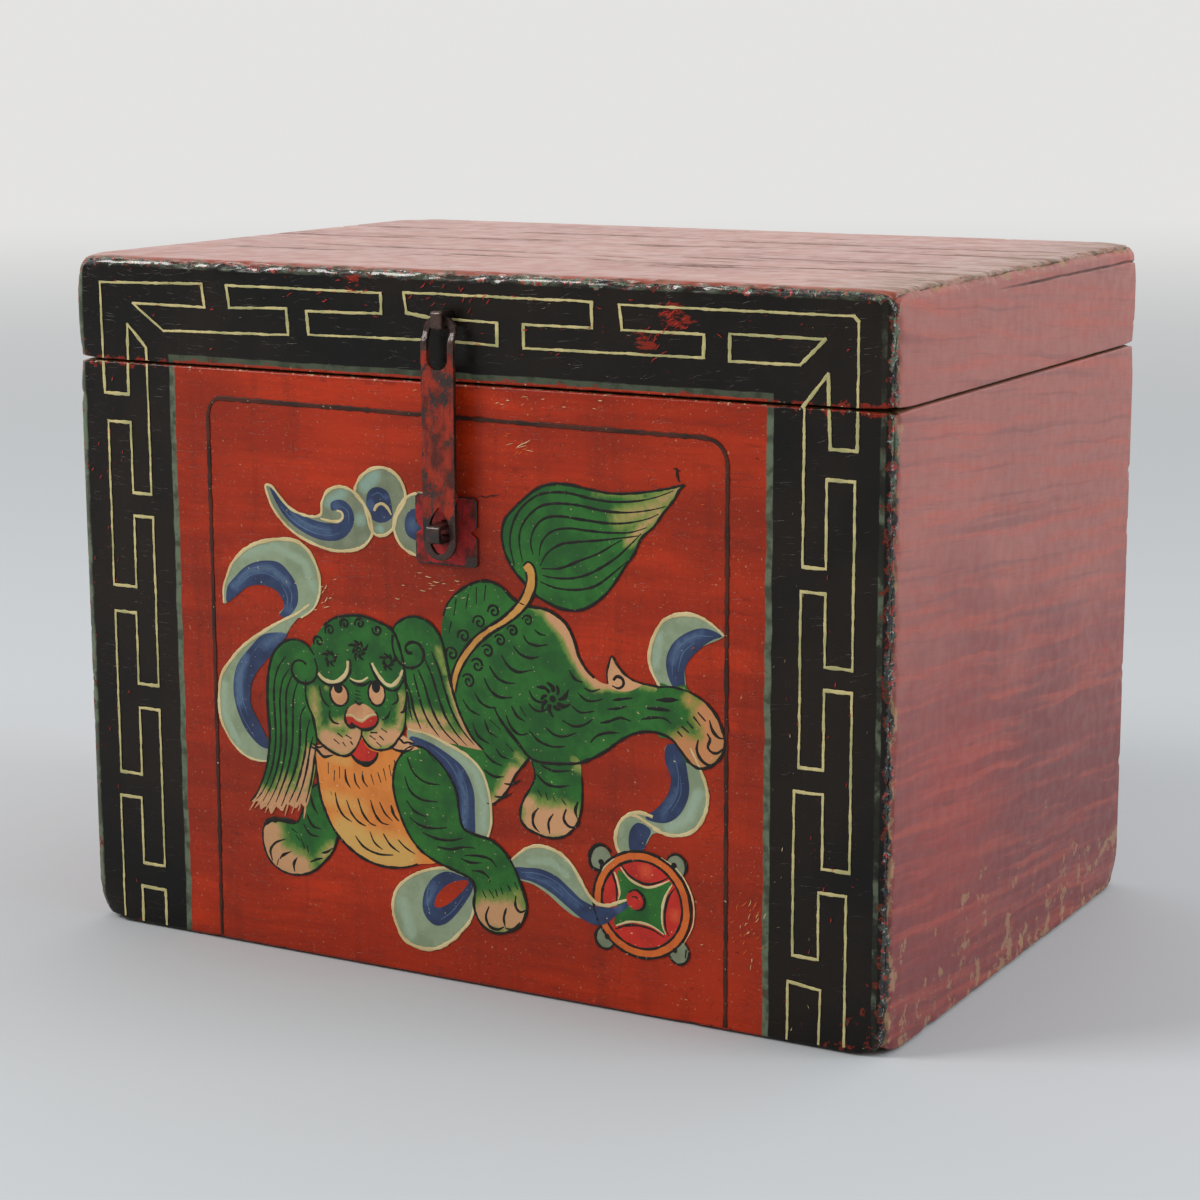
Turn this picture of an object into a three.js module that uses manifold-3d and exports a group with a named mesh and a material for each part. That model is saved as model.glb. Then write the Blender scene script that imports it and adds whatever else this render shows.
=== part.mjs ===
// A painted wooden trunk with a separate lid, an iron hasp and lock staple, and two snipe hinges.
// Millimetres, +Z up. The front faces -Y, and the origin is the centre of the underside.
import * as THREE from 'three';
import { mergeVertices } from 'three/addons/utils/BufferGeometryUtils.js';
import { RoundedBoxGeometry } from 'three/addons/geometries/RoundedBoxGeometry.js';
import Module from 'manifold-3d';

const wasm = await Module();
wasm.setup();

// Overall size
const WIDTH = 600;
const DEPTH = 420;
const BODY_HEIGHT = 392;
const LID_HEIGHT = 70;

// Boards
const WALL = 18;
const TOP_BOARD = 12;
const BOTTOM_BOARD = 14;
const EDGE_RADIUS = 6;
const FRONT_JOINT_OVER_PLATE = 1;
const SIDE_JOINT_HEIGHT = 274;
const BACK_JOINT_HEIGHT = 205;
const BODY_FINGERS = 11;
const LID_FINGERS = 3;
const BOTTOM_PLANKS = 3;
const TOP_PLANKS = 3;

// Clearance between pieces that lie against or inside each other
const FIT = 0.3;

// Nails, sunk below the paint
const NAIL_RADIUS = 1.6;
const NAIL_HEAD_RADIUS = 4;
const NAIL_HEAD_THICKNESS = 1.2;
const NAIL_LENGTH = 40;
const NAIL_POINT = 5;
const NAIL_SINK = 0.5;

// Hasp: a flat strap whose top rim hangs in the lid's staple
const HASP_X = -4;
const HASP_THICKNESS = 3;
const HASP_PIVOT_ABOVE_SEAM = 40;
const HASP_PIVOT_OUT = 8;
const HASP_STRAP_OUT = 11.5;
const HASP_BEND_LENGTH = 10;
const HASP_RIM = 5;
const HASP_RIM_PLAY = 0.45;
const HASP_SIDE_BAND = 4.5;
const HASP_FOOT_BAND = 4;
const HASP_EYE_LENGTH = 28.5;
const HASP_EYE_CORNER = 5;
const EYE_SIDE_PLAY = 3.5;
const SLOT_SIDE_PLAY = 2.5;
const SLOT_PLAY_ABOVE = 10.5;
const SLOT_PLAY_BELOW = 7.5;

// Staple on the lid
const LID_STAPLE_WIDTH = 8;
const LID_STAPLE_THICKNESS = 2.6;
const CLENCH_LENGTH = 8;

// Lock plate and its staple
const LOCK_BELOW_SEAM = 93.5;
const LOCK_STAPLE_WIDTH = 10;
const LOCK_STAPLE_THICKNESS = 3;
const LOCK_STAPLE_GAP = 6;
const PADLOCK_ROOM = 5;
const PLATE_WIDTH = 46;
const PLATE_HEIGHT = 45;
const PLATE_THICKNESS = 1.8;
const PLATE_SHIFT = -2;
const PLATE_NOTCH_DEPTH = 5;
const PLATE_NOTCH_HEIGHT = 7;
const PLATE_CORNER = 2;

// Snipe hinges: an eye of iron rod in the body, a loop of iron rod in the lid
const HINGE_INSET = 110;
const HINGE_STAND_OFF = 0.7;
const HINGE_PLAY = 1.2;
const HINGE_SIDE_PLAY = 4.2;
const EYE_ROD_RADIUS = 1.8;
const EYE_LEG_DROP = 13;
const LOOP_ROD_RADIUS = 2;
const LOOP_LEG_RISE = 15;
const ROD_CLENCH_LENGTH = 12;

// Fineness of round forms
const EDGE_SEGMENTS = 3;
const ARC_STEPS = 8;
const ROD_SIDES = 10;
const RING_STEPS = 20;
const NAIL_SIDES = 8;

// Sizes worked out from those above
const HEIGHT = BODY_HEIGHT + LID_HEIGHT;
const FRONT = -DEPTH / 2;
const BACK = DEPTH / 2;
const SIDE = WIDTH / 2;
const LID_BOTTOM = BODY_HEIGHT + FIT;
const TOP_BOARD_BOTTOM = HEIGHT - TOP_BOARD;
const RAIL_TOP = TOP_BOARD_BOTTOM - FIT;
const PIVOT_HEIGHT = BODY_HEIGHT + HASP_PIVOT_ABOVE_SEAM;
const LOCK_HEIGHT = BODY_HEIGHT - LOCK_BELOW_SEAM;
const FRONT_JOINT_HEIGHT = LOCK_HEIGHT + PLATE_HEIGHT / 2 + FRONT_JOINT_OVER_PLATE;
const RIM_ROOM = Math.hypot(HASP_RIM, HASP_THICKNESS) / 2 + HASP_RIM_PLAY;
const EYE_HALF_WIDTH = LID_STAPLE_WIDTH / 2 + EYE_SIDE_PLAY;
const SLOT_HALF_WIDTH = LOCK_STAPLE_WIDTH / 2 + SLOT_SIDE_PLAY;
const HASP_HALF_WIDTH = Math.max(EYE_HALF_WIDTH, SLOT_HALF_WIDTH) + HASP_SIDE_BAND;
const EYE_RING_RADIUS = LOOP_ROD_RADIUS + HINGE_PLAY + EYE_ROD_RADIUS;
const HINGE_AXIS_OUT = EYE_RING_RADIUS + EYE_ROD_RADIUS + HINGE_STAND_OFF;
const LOOP_HALF_WIDTH = LOOP_ROD_RADIUS + EYE_ROD_RADIUS + HINGE_SIDE_PLAY;

// Colours and finishes
const finishes = {
  frontPaint: { color: 0x9b3220, roughness: 0.55, metalness: 0 },
  sidePaint: { color: 0x965f5a, roughness: 0.8, metalness: 0 },
  topPaint: { color: 0xb0807c, roughness: 0.75, metalness: 0 },
  bareWood: { color: 0x8a6a4c, roughness: 0.85, metalness: 0 },
  redIron: { color: 0x8c2f26, roughness: 0.5, metalness: 0.4 },
  darkIron: { color: 0x3c2d28, roughness: 0.45, metalness: 0.8 },
};

const trunk = new THREE.Group();

// Adds a solid to the trunk as a named mesh
function addPiece(name, solid, finish) {
  const mesh = new THREE.Mesh(geometryOf(solid), new THREE.MeshStandardMaterial(finishes[finish]));
  mesh.name = name;
  trunk.add(mesh);
}

function solidOf(geometry) {
  const plain = geometry.clone();
  plain.deleteAttribute('normal');
  plain.deleteAttribute('uv');
  const merged = mergeVertices(plain);
  return new wasm.Manifold(new wasm.Mesh({
    numProp: 3,
    vertProperties: new Float32Array(merged.attributes.position.array),
    triVerts: new Uint32Array(merged.index.array),
  }));
}

function geometryOf(solid) {
  const mesh = solid.getMesh();
  const geometry = new THREE.BufferGeometry();
  geometry.setAttribute('position', new THREE.BufferAttribute(mesh.vertProperties, 3));
  geometry.setIndex(new THREE.BufferAttribute(mesh.triVerts, 1));
  geometry.computeVertexNormals();
  return geometry;
}

function join(solids) {
  return solids.reduce((whole, solid) => whole.add(solid));
}

function cut(solid, tools) {
  return tools.reduce((rest, tool) => rest.subtract(tool), solid);
}

function box(low, high) {
  const size = high.map((value, i) => value - low[i]);
  const middle = high.map((value, i) => (value + low[i]) / 2);
  return solidOf(new THREE.BoxGeometry(...size).translate(...middle));
}

// A shape from corner points, each written once
function shapeFrom(points) {
  const kept = points.filter(([a, b], i) => {
    const [c, d] = points[(i + points.length - 1) % points.length];
    return Math.hypot(a - c, b - d) > 1e-6;
  });
  return new THREE.Shape(kept.map(([a, b]) => new THREE.Vector2(a, b)));
}

// Extrudes a shape drawn in two world directions, from its plane towards their cross product
function extrudeIn(shape, first, second, depth, origin) {
  const geometry = new THREE.ExtrudeGeometry(shape, { depth, bevelEnabled: false, curveSegments: ARC_STEPS });
  const along = new THREE.Vector3().crossVectors(first, second);
  const matrix = new THREE.Matrix4().makeBasis(first, second, along).setPosition(...origin);
  return solidOf(geometry.applyMatrix4(matrix));
}

const RIGHT = new THREE.Vector3(1, 0, 0);
const BACKWARD = new THREE.Vector3(0, 1, 0);
const FORWARD = new THREE.Vector3(0, -1, 0);
const UP = new THREE.Vector3(0, 0, 1);

// Outer form of the closed trunk with rounded edges, open below so that its foot stays square
const envelope = solidOf(
  new RoundedBoxGeometry(WIDTH, DEPTH, HEIGHT + 2 * EDGE_RADIUS, EDGE_SEGMENTS, EDGE_RADIUS)
    .translate(0, 0, HEIGHT / 2 - EDGE_RADIUS),
);

// Walls and rails with interlocking corner fingers

// Heights of every second finger of a corner, clipped to one board
function fingerBands(corner, first, board) {
  const pitch = (corner.high - corner.low) / corner.fingers;
  const bands = [];
  for (let k = first; k < corner.fingers; k += 2) {
    const start = k === 0 ? corner.low : corner.low + k * pitch + FIT / 2;
    const end = k === corner.fingers - 1 ? corner.high : corner.low + (k + 1) * pitch - FIT / 2;
    const low = Math.max(start, board.low);
    const high = Math.min(end, board.high);
    if (high - low > FIT) bands.push([low, high]);
  }
  return bands;
}

// Outline of a board whose ends reach the corner only at its own fingers
function fingeredOutline(halfLength, bands, board) {
  const shoulder = halfLength - WALL - FIT;
  const tip = halfLength + WALL;
  const right = [[shoulder, board.low]];
  for (const [low, high] of bands) {
    right.push([shoulder, low], [tip, low], [tip, high], [shoulder, high]);
  }
  right.push([shoulder, board.high]);
  const left = right.map(([a, z]) => [-a, z]).reverse();
  return shapeFrom([...right, ...left]);
}

// Front or back board; sign is -1 at the front and 1 at the back
function longBoard(sign, corner, board) {
  const outline = fingeredOutline(SIDE, fingerBands(corner, 0, board), board);
  const innerFace = BACK - WALL;
  const nearFace = sign < 0 ? -innerFace : BACK + WALL;
  return extrudeIn(outline, RIGHT, UP, 2 * WALL, [0, nearFace, 0]).intersect(envelope);
}

// Left or right board; sign is -1 on the left and 1 on the right
function shortBoard(sign, corner, board) {
  const outline = fingeredOutline(BACK, fingerBands(corner, 1, board), board);
  const nearFace = sign < 0 ? -SIDE - WALL : SIDE - WALL;
  return extrudeIn(outline, BACKWARD, UP, 2 * WALL, [nearFace, 0, 0]).intersect(envelope);
}

// The two boards of a wall that is glued up at one height
function wallBoards(jointHeight) {
  return {
    lower: { low: 0, high: jointHeight - FIT / 2 },
    upper: { low: jointHeight + FIT / 2, high: BODY_HEIGHT },
  };
}

// Nails

// Nail along -Z with its head's top at the origin, or the hole for it when grown
function nailForm(grow) {
  const top = grow > 0 ? NAIL_SINK + 1 : 0;
  const head = NAIL_HEAD_RADIUS + grow;
  const shank = NAIL_RADIUS + grow;
  const under = -NAIL_HEAD_THICKNESS - grow;
  const tip = -NAIL_LENGTH - grow;
  const profile = [
    [0, tip], [shank, tip + NAIL_POINT], [shank, under], [head, under], [head, top], [0, top],
  ].map(([radius, along]) => new THREE.Vector2(radius, along));
  return new THREE.LatheGeometry(profile, NAIL_SIDES).rotateX(Math.PI / 2);
}

// Places of the nails: a point on the outer surface and the turn that faces each nail outwards
function acrossPlank(planks, span, index) {
  const plank = span / planks;
  const middle = -span / 2 + (index + 0.5) * plank;
  return [middle - plank / 4, middle + plank / 4];
}

function topNails(index) {
  const spots = [];
  for (const side of [-1, 1]) {
    for (const y of acrossPlank(TOP_PLANKS, DEPTH, index)) {
      spots.push(new THREE.Matrix4().makeTranslation(side * (SIDE - WALL / 2), y, HEIGHT - NAIL_SINK));
    }
  }
  return spots;
}

function bottomNails(index) {
  const spots = [];
  for (const side of [-1, 1]) {
    for (const y of acrossPlank(BOTTOM_PLANKS, DEPTH - 2 * WALL, index)) {
      const turn = new THREE.Matrix4().makeRotationY(side * Math.PI / 2);
      spots.push(turn.setPosition(side * (SIDE - NAIL_SINK), y, BOTTOM_BOARD / 2));
    }
  }
  return spots;
}

function nailHoles(spots) {
  return spots.map((spot) => solidOf(nailForm(FIT).applyMatrix4(spot)));
}

function addNails(prefix, spots) {
  spots.forEach((spot, i) => {
    addPiece(`${prefix}_${i + 1}`, solidOf(nailForm(0).applyMatrix4(spot)), 'darkIron');
  });
}

const plankIndexes = (count) => Array.from({ length: count }, (_, index) => index);
const allBottomNails = plankIndexes(BOTTOM_PLANKS).flatMap(bottomNails);
const allTopNails = plankIndexes(TOP_PLANKS).flatMap(topNails);

// Iron rod along a bent path, with round elbows and ends
function rod(points, radius) {
  const pieces = [];
  points.forEach((point, i) => {
    const elbow = new THREE.SphereGeometry(radius, ROD_SIDES, ROD_SIDES);
    pieces.push(solidOf(elbow.translate(...point)));
    if (i === 0) return;
    const from = new THREE.Vector3(...points[i - 1]);
    const to = new THREE.Vector3(...point);
    const length = from.distanceTo(to);
    const along = to.clone().sub(from).normalize();
    const turn = new THREE.Quaternion().setFromUnitVectors(BACKWARD, along);
    const straight = new THREE.CylinderGeometry(radius, radius, length, ROD_SIDES).applyQuaternion(turn);
    pieces.push(solidOf(straight.translate(...from.add(to).divideScalar(2))));
  });
  return join(pieces);
}

// Flat band staples that pass through a board and are bent over inside

// The band's outline as distance in front of the face and height from the staple's middle
function stapleOutline(staple, backFace) {
  const near = -backFace - FIT;
  const far = near - staple.thickness;
  const inner = staple.gap / 2;
  const outer = inner + staple.thickness;
  const reach = staple.reach;
  const round = staple.thickness;
  return shapeFrom([
    [near, outer + CLENCH_LENGTH], [far, outer + CLENCH_LENGTH], [far, inner],
    [reach - staple.thickness, inner], [reach - staple.thickness, -inner],
    [far, -inner], [far, -outer - CLENCH_LENGTH], [near, -outer - CLENCH_LENGTH],
    [near, -outer], ...cornerArc(reach - round, -outer + round, round, -Math.PI / 2),
    ...cornerArc(reach - round, outer - round, round, 0), [near, outer],
  ]);
}

// Points of a quarter circle, from an angle on
function cornerArc(centreA, centreB, radius, from) {
  return Array.from({ length: ARC_STEPS / 2 + 1 }, (_, i) => {
    const angle = from + (Math.PI / 2) * (i / (ARC_STEPS / 2));
    return [centreA + radius * Math.cos(angle), centreB + radius * Math.sin(angle)];
  });
}

function bandStaple(staple, height, backFace) {
  const middle = HASP_X + staple.width / 2;
  return extrudeIn(stapleOutline(staple, backFace), FORWARD, UP, staple.width, [middle, FRONT, height]);
}

// Slot through which both legs of a staple pass
function stapleSlots(staple, height) {
  const halfWidth = staple.width / 2 + FIT;
  const inner = staple.gap / 2 - FIT;
  const outer = staple.gap / 2 + staple.thickness + FIT;
  return [-1, 1].map((sign) => {
    const [low, high] = [sign * inner, sign * outer].sort((a, b) => a - b);
    const near = [HASP_X - halfWidth, FRONT - WALL, height + low];
    const far = [HASP_X + halfWidth, FRONT + 2 * WALL, height + high];
    return box(near, far);
  });
}

// The hasp's rim turns freely inside this one
const lidStaple = {
  width: LID_STAPLE_WIDTH,
  thickness: LID_STAPLE_THICKNESS,
  gap: 2 * RIM_ROOM,
  reach: HASP_PIVOT_OUT + RIM_ROOM + LID_STAPLE_THICKNESS,
};

// This one passes through the hasp's slot and leaves room for a padlock's bow in front of it
const lockStaple = {
  width: LOCK_STAPLE_WIDTH,
  thickness: LOCK_STAPLE_THICKNESS,
  gap: LOCK_STAPLE_GAP,
  reach: HASP_STRAP_OUT + HASP_THICKNESS / 2 + PADLOCK_ROOM + LOCK_STAPLE_THICKNESS,
};

// Lock plate with a pointed notch in each side
function lockPlate() {
  const half = PLATE_WIDTH / 2;
  const top = PLATE_HEIGHT / 2;
  const corner = PLATE_CORNER;
  const notch = PLATE_NOTCH_HEIGHT / 2;
  const right = [
    [half - corner, -top], [half, -top + corner], [half, -notch], [half - PLATE_NOTCH_DEPTH, 0],
    [half, notch], [half, top - corner], [half - corner, top],
  ];
  const left = right.map(([a, b]) => [-a, b]).reverse();
  const outline = shapeFrom([...right, ...left]);
  const middle = HASP_X + PLATE_SHIFT;
  return extrudeIn(outline, RIGHT, UP, PLATE_THICKNESS, [middle, FRONT, LOCK_HEIGHT]);
}

// Hasp strap, drawn from its pivot: heights below the pivot are negative

// Lower slot: a pointed arch over half an ellipse
function slotOutline(spring, rise, fall) {
  const halfWidth = SLOT_HALF_WIDTH;
  const archRadius = (rise * rise + halfWidth * halfWidth) / (2 * halfWidth);
  const right = [];
  for (let i = 0; i <= ARC_STEPS; i += 1) {
    const angle = -Math.PI / 2 + (Math.PI / 2) * (i / ARC_STEPS);
    right.push([halfWidth * Math.cos(angle), spring + fall * Math.sin(angle)]);
  }
  const peak = Math.asin(rise / archRadius);
  for (let i = 1; i <= ARC_STEPS; i += 1) {
    const angle = peak * (i / ARC_STEPS);
    const across = archRadius * Math.cos(angle) - archRadius + halfWidth;
    right.push([across, spring + archRadius * Math.sin(angle)]);
  }
  const left = right.slice(1, -1).map(([a, b]) => [-a, b]).reverse();
  return shapeFrom([...right, ...left]);
}

// Upper eye: square shoulders under the rim and a round foot
function eyeOutline() {
  const top = -HASP_RIM / 2;
  return roundEndedOutline(EYE_HALF_WIDTH, top, top - HASP_EYE_LENGTH, HASP_EYE_CORNER);
}

function strapOutline(foot) {
  return roundEndedOutline(HASP_HALF_WIDTH, HASP_RIM / 2, foot, HASP_EYE_CORNER + HASP_SIDE_BAND);
}

// An upright outline with rounded corners at the top and a half circle at the foot
function roundEndedOutline(halfWidth, top, foot, corner) {
  const shape = new THREE.Shape();
  shape.moveTo(halfWidth, foot + halfWidth);
  shape.lineTo(halfWidth, top - corner);
  shape.absarc(halfWidth - corner, top - corner, corner, 0, Math.PI / 2);
  shape.absarc(-halfWidth + corner, top - corner, corner, Math.PI / 2, Math.PI);
  shape.absarc(0, foot + halfWidth, halfWidth, Math.PI, 2 * Math.PI);
  return shape;
}

// Side view of the strap: its rim is bent back towards the lid
function strapProfile(foot) {
  const top = HASP_RIM;
  const heights = [top];
  for (let i = 0; i <= ARC_STEPS; i += 1) heights.push(-HASP_RIM - HASP_BEND_LENGTH * (i / ARC_STEPS));
  heights.push(foot - HASP_RIM);
  const bend = HASP_STRAP_OUT - HASP_PIVOT_OUT;
  const middle = heights.map((z) => {
    const t = THREE.MathUtils.clamp((-z - HASP_RIM) / HASP_BEND_LENGTH, 0, 1);
    return [HASP_PIVOT_OUT + bend * t * t * (3 - 2 * t), z];
  });
  const back = middle.map(([out, z]) => [out - HASP_THICKNESS / 2, z]);
  const face = middle.map(([out, z]) => [out + HASP_THICKNESS / 2, z]).reverse();
  return shapeFrom([...back, ...face]);
}

function haspStrap() {
  const spring = LOCK_HEIGHT - PIVOT_HEIGHT;
  const rise = LOCK_STAPLE_GAP / 2 + LOCK_STAPLE_THICKNESS + SLOT_PLAY_ABOVE;
  const fall = LOCK_STAPLE_GAP / 2 + LOCK_STAPLE_THICKNESS + SLOT_PLAY_BELOW;
  const foot = spring - fall - HASP_FOOT_BAND;
  const depth = 4 * HASP_STRAP_OUT;
  const face = extrudeIn(strapOutline(foot), RIGHT, UP, depth, [HASP_X, FRONT + depth / 2, PIVOT_HEIGHT]);
  const holes = [eyeOutline(), slotOutline(spring, rise, fall)];
  const cutterOrigin = [HASP_X, FRONT + depth, PIVOT_HEIGHT];
  const cutters = holes.map((hole) => extrudeIn(hole, RIGHT, UP, 2 * depth, cutterOrigin));
  const profileOrigin = [HASP_X + 2 * HASP_HALF_WIDTH, FRONT, PIVOT_HEIGHT];
  const profile = extrudeIn(strapProfile(foot), FORWARD, UP, 4 * HASP_HALF_WIDTH, profileOrigin);
  return cut(face, cutters).intersect(profile);
}

// Snipe hinges on the back
function hingeEye(x) {
  const axisY = BACK + HINGE_AXIS_OUT;
  const legZ = BODY_HEIGHT - EYE_LEG_DROP;
  const insideY = BACK - WALL - FIT - EYE_ROD_RADIUS;
  const ring = new THREE.TorusGeometry(EYE_RING_RADIUS, EYE_ROD_RADIUS, ROD_SIDES, RING_STEPS)
    .rotateY(Math.PI / 2)
    .translate(x, axisY, BODY_HEIGHT);
  const leg = rod([
    [x, axisY, BODY_HEIGHT - EYE_RING_RADIUS], [x, BACK + EYE_ROD_RADIUS + FIT, legZ], [x, insideY, legZ],
    [x, insideY, legZ - ROD_CLENCH_LENGTH],
  ], EYE_ROD_RADIUS);
  return join([solidOf(ring), leg]);
}

function hingeLoop(x) {
  const axisY = BACK + HINGE_AXIS_OUT;
  const legZ = BODY_HEIGHT + LOOP_LEG_RISE;
  const bendY = BACK + LOOP_ROD_RADIUS + FIT;
  const insideY = BACK - WALL - FIT - LOOP_ROD_RADIUS;
  const leg = (side) => [
    [x + side, insideY, legZ + ROD_CLENCH_LENGTH], [x + side, insideY, legZ], [x + side, bendY, legZ],
    [x + side, axisY, BODY_HEIGHT],
  ];
  return rod([...leg(-LOOP_HALF_WIDTH), ...leg(LOOP_HALF_WIDTH).reverse()], LOOP_ROD_RADIUS);
}

// A round hole through the back wall or rail
function rodHole(x, z, radius) {
  const hole = new THREE.CylinderGeometry(radius + FIT, radius + FIT, 3 * WALL, ROD_SIDES);
  return solidOf(hole.translate(x, BACK - WALL / 2, z));
}

const hinges = { left: HINGE_INSET - SIDE, right: SIDE - HINGE_INSET };
const eyeHoles = Object.values(hinges).map((x) => rodHole(x, BODY_HEIGHT - EYE_LEG_DROP, EYE_ROD_RADIUS));
const loopHoles = Object.values(hinges).flatMap((x) => [-1, 1].map((side) => (
  rodHole(x + side * LOOP_HALF_WIDTH, BODY_HEIGHT + LOOP_LEG_RISE, LOOP_ROD_RADIUS)
)));

// Body: four walls of two boards each, and the bottom planks between them
function addBody() {
  const corner = { low: 0, high: BODY_HEIGHT, fingers: BODY_FINGERS };
  const front = wallBoards(FRONT_JOINT_HEIGHT);
  const back = wallBoards(BACK_JOINT_HEIGHT);
  const side = wallBoards(SIDE_JOINT_HEIGHT);
  const holes = nailHoles(allBottomNails);
  const lockSlots = stapleSlots(lockStaple, LOCK_HEIGHT);
  addPiece('front_board_lower', cut(longBoard(-1, corner, front.lower), lockSlots), 'frontPaint');
  addPiece('front_board_upper', cut(longBoard(-1, corner, front.upper), lockSlots), 'frontPaint');
  addPiece('back_board_lower', cut(longBoard(1, corner, back.lower), eyeHoles), 'sidePaint');
  addPiece('back_board_upper', cut(longBoard(1, corner, back.upper), eyeHoles), 'sidePaint');
  addPiece('left_board_lower', cut(shortBoard(-1, corner, side.lower), holes), 'sidePaint');
  addPiece('left_board_upper', shortBoard(-1, corner, side.upper), 'sidePaint');
  addPiece('right_board_lower', cut(shortBoard(1, corner, side.lower), holes), 'sidePaint');
  addPiece('right_board_upper', shortBoard(1, corner, side.upper), 'sidePaint');

  const reach = SIDE - WALL - FIT;
  const room = DEPTH - 2 * WALL - FIT;
  for (const index of plankIndexes(BOTTOM_PLANKS)) {
    const start = -room / 2 + (index * room) / BOTTOM_PLANKS;
    const low = [-reach, start + FIT / 2, 0];
    const high = [reach, start + room / BOTTOM_PLANKS - FIT / 2, BOTTOM_BOARD];
    addPiece(`bottom_plank_${index + 1}`, cut(box(low, high), holes), 'bareWood');
  }
  addNails('bottom_nail', allBottomNails);
}

// Lid: four rails and the top planks laid over them
function addLid() {
  const corner = { low: LID_BOTTOM, high: RAIL_TOP, fingers: LID_FINGERS };
  const rail = { low: LID_BOTTOM, high: RAIL_TOP };
  const holes = nailHoles(allTopNails);
  const haspSlots = stapleSlots(lidStaple, PIVOT_HEIGHT);
  addPiece('lid_front_rail', cut(longBoard(-1, corner, rail), haspSlots), 'frontPaint');
  addPiece('lid_back_rail', cut(longBoard(1, corner, rail), loopHoles), 'sidePaint');
  addPiece('lid_left_rail', cut(shortBoard(-1, corner, rail), holes), 'sidePaint');
  addPiece('lid_right_rail', cut(shortBoard(1, corner, rail), holes), 'sidePaint');

  for (const index of plankIndexes(TOP_PLANKS)) {
    const start = FRONT + (index * DEPTH) / TOP_PLANKS;
    const end = start + DEPTH / TOP_PLANKS;
    const frontGap = index === 0 ? -WALL : FIT / 2;
    const backGap = index === TOP_PLANKS - 1 ? -WALL : FIT / 2;
    const low = [-SIDE - WALL, start + frontGap, TOP_BOARD_BOTTOM];
    const high = [SIDE + WALL, end - backGap, HEIGHT + WALL];
    addPiece(`lid_top_plank_${index + 1}`, cut(box(low, high).intersect(envelope), holes), 'topPaint');
  }
  addNails('top_nail', allTopNails);
}

// Ironwork
function addIronwork() {
  addPiece('hasp_strap', haspStrap(), 'redIron');
  addPiece('hasp_staple', bandStaple(lidStaple, PIVOT_HEIGHT, WALL), 'darkIron');
  addPiece('lock_plate', cut(lockPlate(), stapleSlots(lockStaple, LOCK_HEIGHT)), 'redIron');
  addPiece('lock_staple', bandStaple(lockStaple, LOCK_HEIGHT, WALL), 'darkIron');
  for (const [name, x] of Object.entries(hinges)) {
    addPiece(`hinge_eye_${name}`, hingeEye(x), 'darkIron');
    addPiece(`hinge_loop_${name}`, hingeLoop(x), 'darkIron');
  }
}

addBody();
addLid();
addIronwork();

export default trunk;
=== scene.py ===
"""Painted wooden trunk with a hinged lid, an iron hasp and a lock plate, dressed around its frame.

Sizes are in metres, and the front faces -Y. The painting on the front is laid out in millimetres
from the front's left edge and from the floor.
"""

import logging
import math
import random
from dataclasses import dataclass
from enum import Enum
from typing import Callable, Iterable, Sequence

import bmesh
import bpy
from mathutils import Matrix, Vector, noise
from mathutils.geometry import delaunay_2d_cdt


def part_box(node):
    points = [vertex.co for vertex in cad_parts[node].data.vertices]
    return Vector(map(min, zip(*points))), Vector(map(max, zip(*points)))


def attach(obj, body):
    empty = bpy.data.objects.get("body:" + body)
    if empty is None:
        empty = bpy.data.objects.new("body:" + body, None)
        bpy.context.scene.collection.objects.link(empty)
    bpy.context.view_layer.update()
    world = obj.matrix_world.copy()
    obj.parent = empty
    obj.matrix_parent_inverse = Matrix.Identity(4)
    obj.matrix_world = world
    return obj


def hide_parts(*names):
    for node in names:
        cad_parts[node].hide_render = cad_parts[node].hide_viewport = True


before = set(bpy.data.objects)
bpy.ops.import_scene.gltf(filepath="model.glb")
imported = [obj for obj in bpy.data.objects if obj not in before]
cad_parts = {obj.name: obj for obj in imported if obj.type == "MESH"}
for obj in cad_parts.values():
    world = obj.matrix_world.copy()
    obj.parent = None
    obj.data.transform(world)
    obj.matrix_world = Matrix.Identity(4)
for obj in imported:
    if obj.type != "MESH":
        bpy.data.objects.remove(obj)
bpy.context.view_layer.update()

Point = tuple[float, float]
Colour = tuple[float, float, float]
Socket = bpy.types.NodeSocket

MM = 0.001
HALF_WIDTH = 0.300
HALF_DEPTH = 0.210
BODY_TOP = 0.392
LID_BOTTOM = 0.3923
LID_TOP = 0.462
LID_CEILING = 0.450
WALL = 0.018
SKIN_INSET = 0.00022
PAINT_LEVEL = 0.00004

log = logging.getLogger("trunk")


class Body(Enum):
    """The moving bodies of the frame."""

    TRUNK = "body"
    LID = "lid"
    HASP = "hasp"


class Slot(Enum):
    """Names of finishes for the new pieces, which the script passes along but gives to no piece."""

    FRONT = "front_paint"
    SIDE = "side_paint"
    TOP = "top_paint"
    PAINTED_IRON = "painted_iron"
    FORGED_IRON = "forged_iron"


class Side(Enum):
    """The faces of the trunk."""

    FRONT = "front"
    RIGHT = "right"
    BACK = "back"
    LEFT = "left"
    TOP = "top"


def srgb(red: float, green: float, blue: float) -> Colour:
    """Turns a colour as the eye reads it into the linear colour of the shaders.

    Args:
        red: Red, from 0 to 255.
        green: Green, from 0 to 255.
        blue: Blue, from 0 to 255.

    Returns:
        The linear colour.
    """
    shares = (red / 255, green / 255, blue / 255)
    return tuple(c / 12.92 if c <= 0.04045 else ((c + 0.055) / 1.055) ** 2.4 for c in shares)


def path(*numbers: float) -> tuple[Point, ...]:
    """Pairs up a row of numbers as points, in millimetres on the front."""
    return tuple(zip(numbers[0::2], numbers[1::2]))


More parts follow.
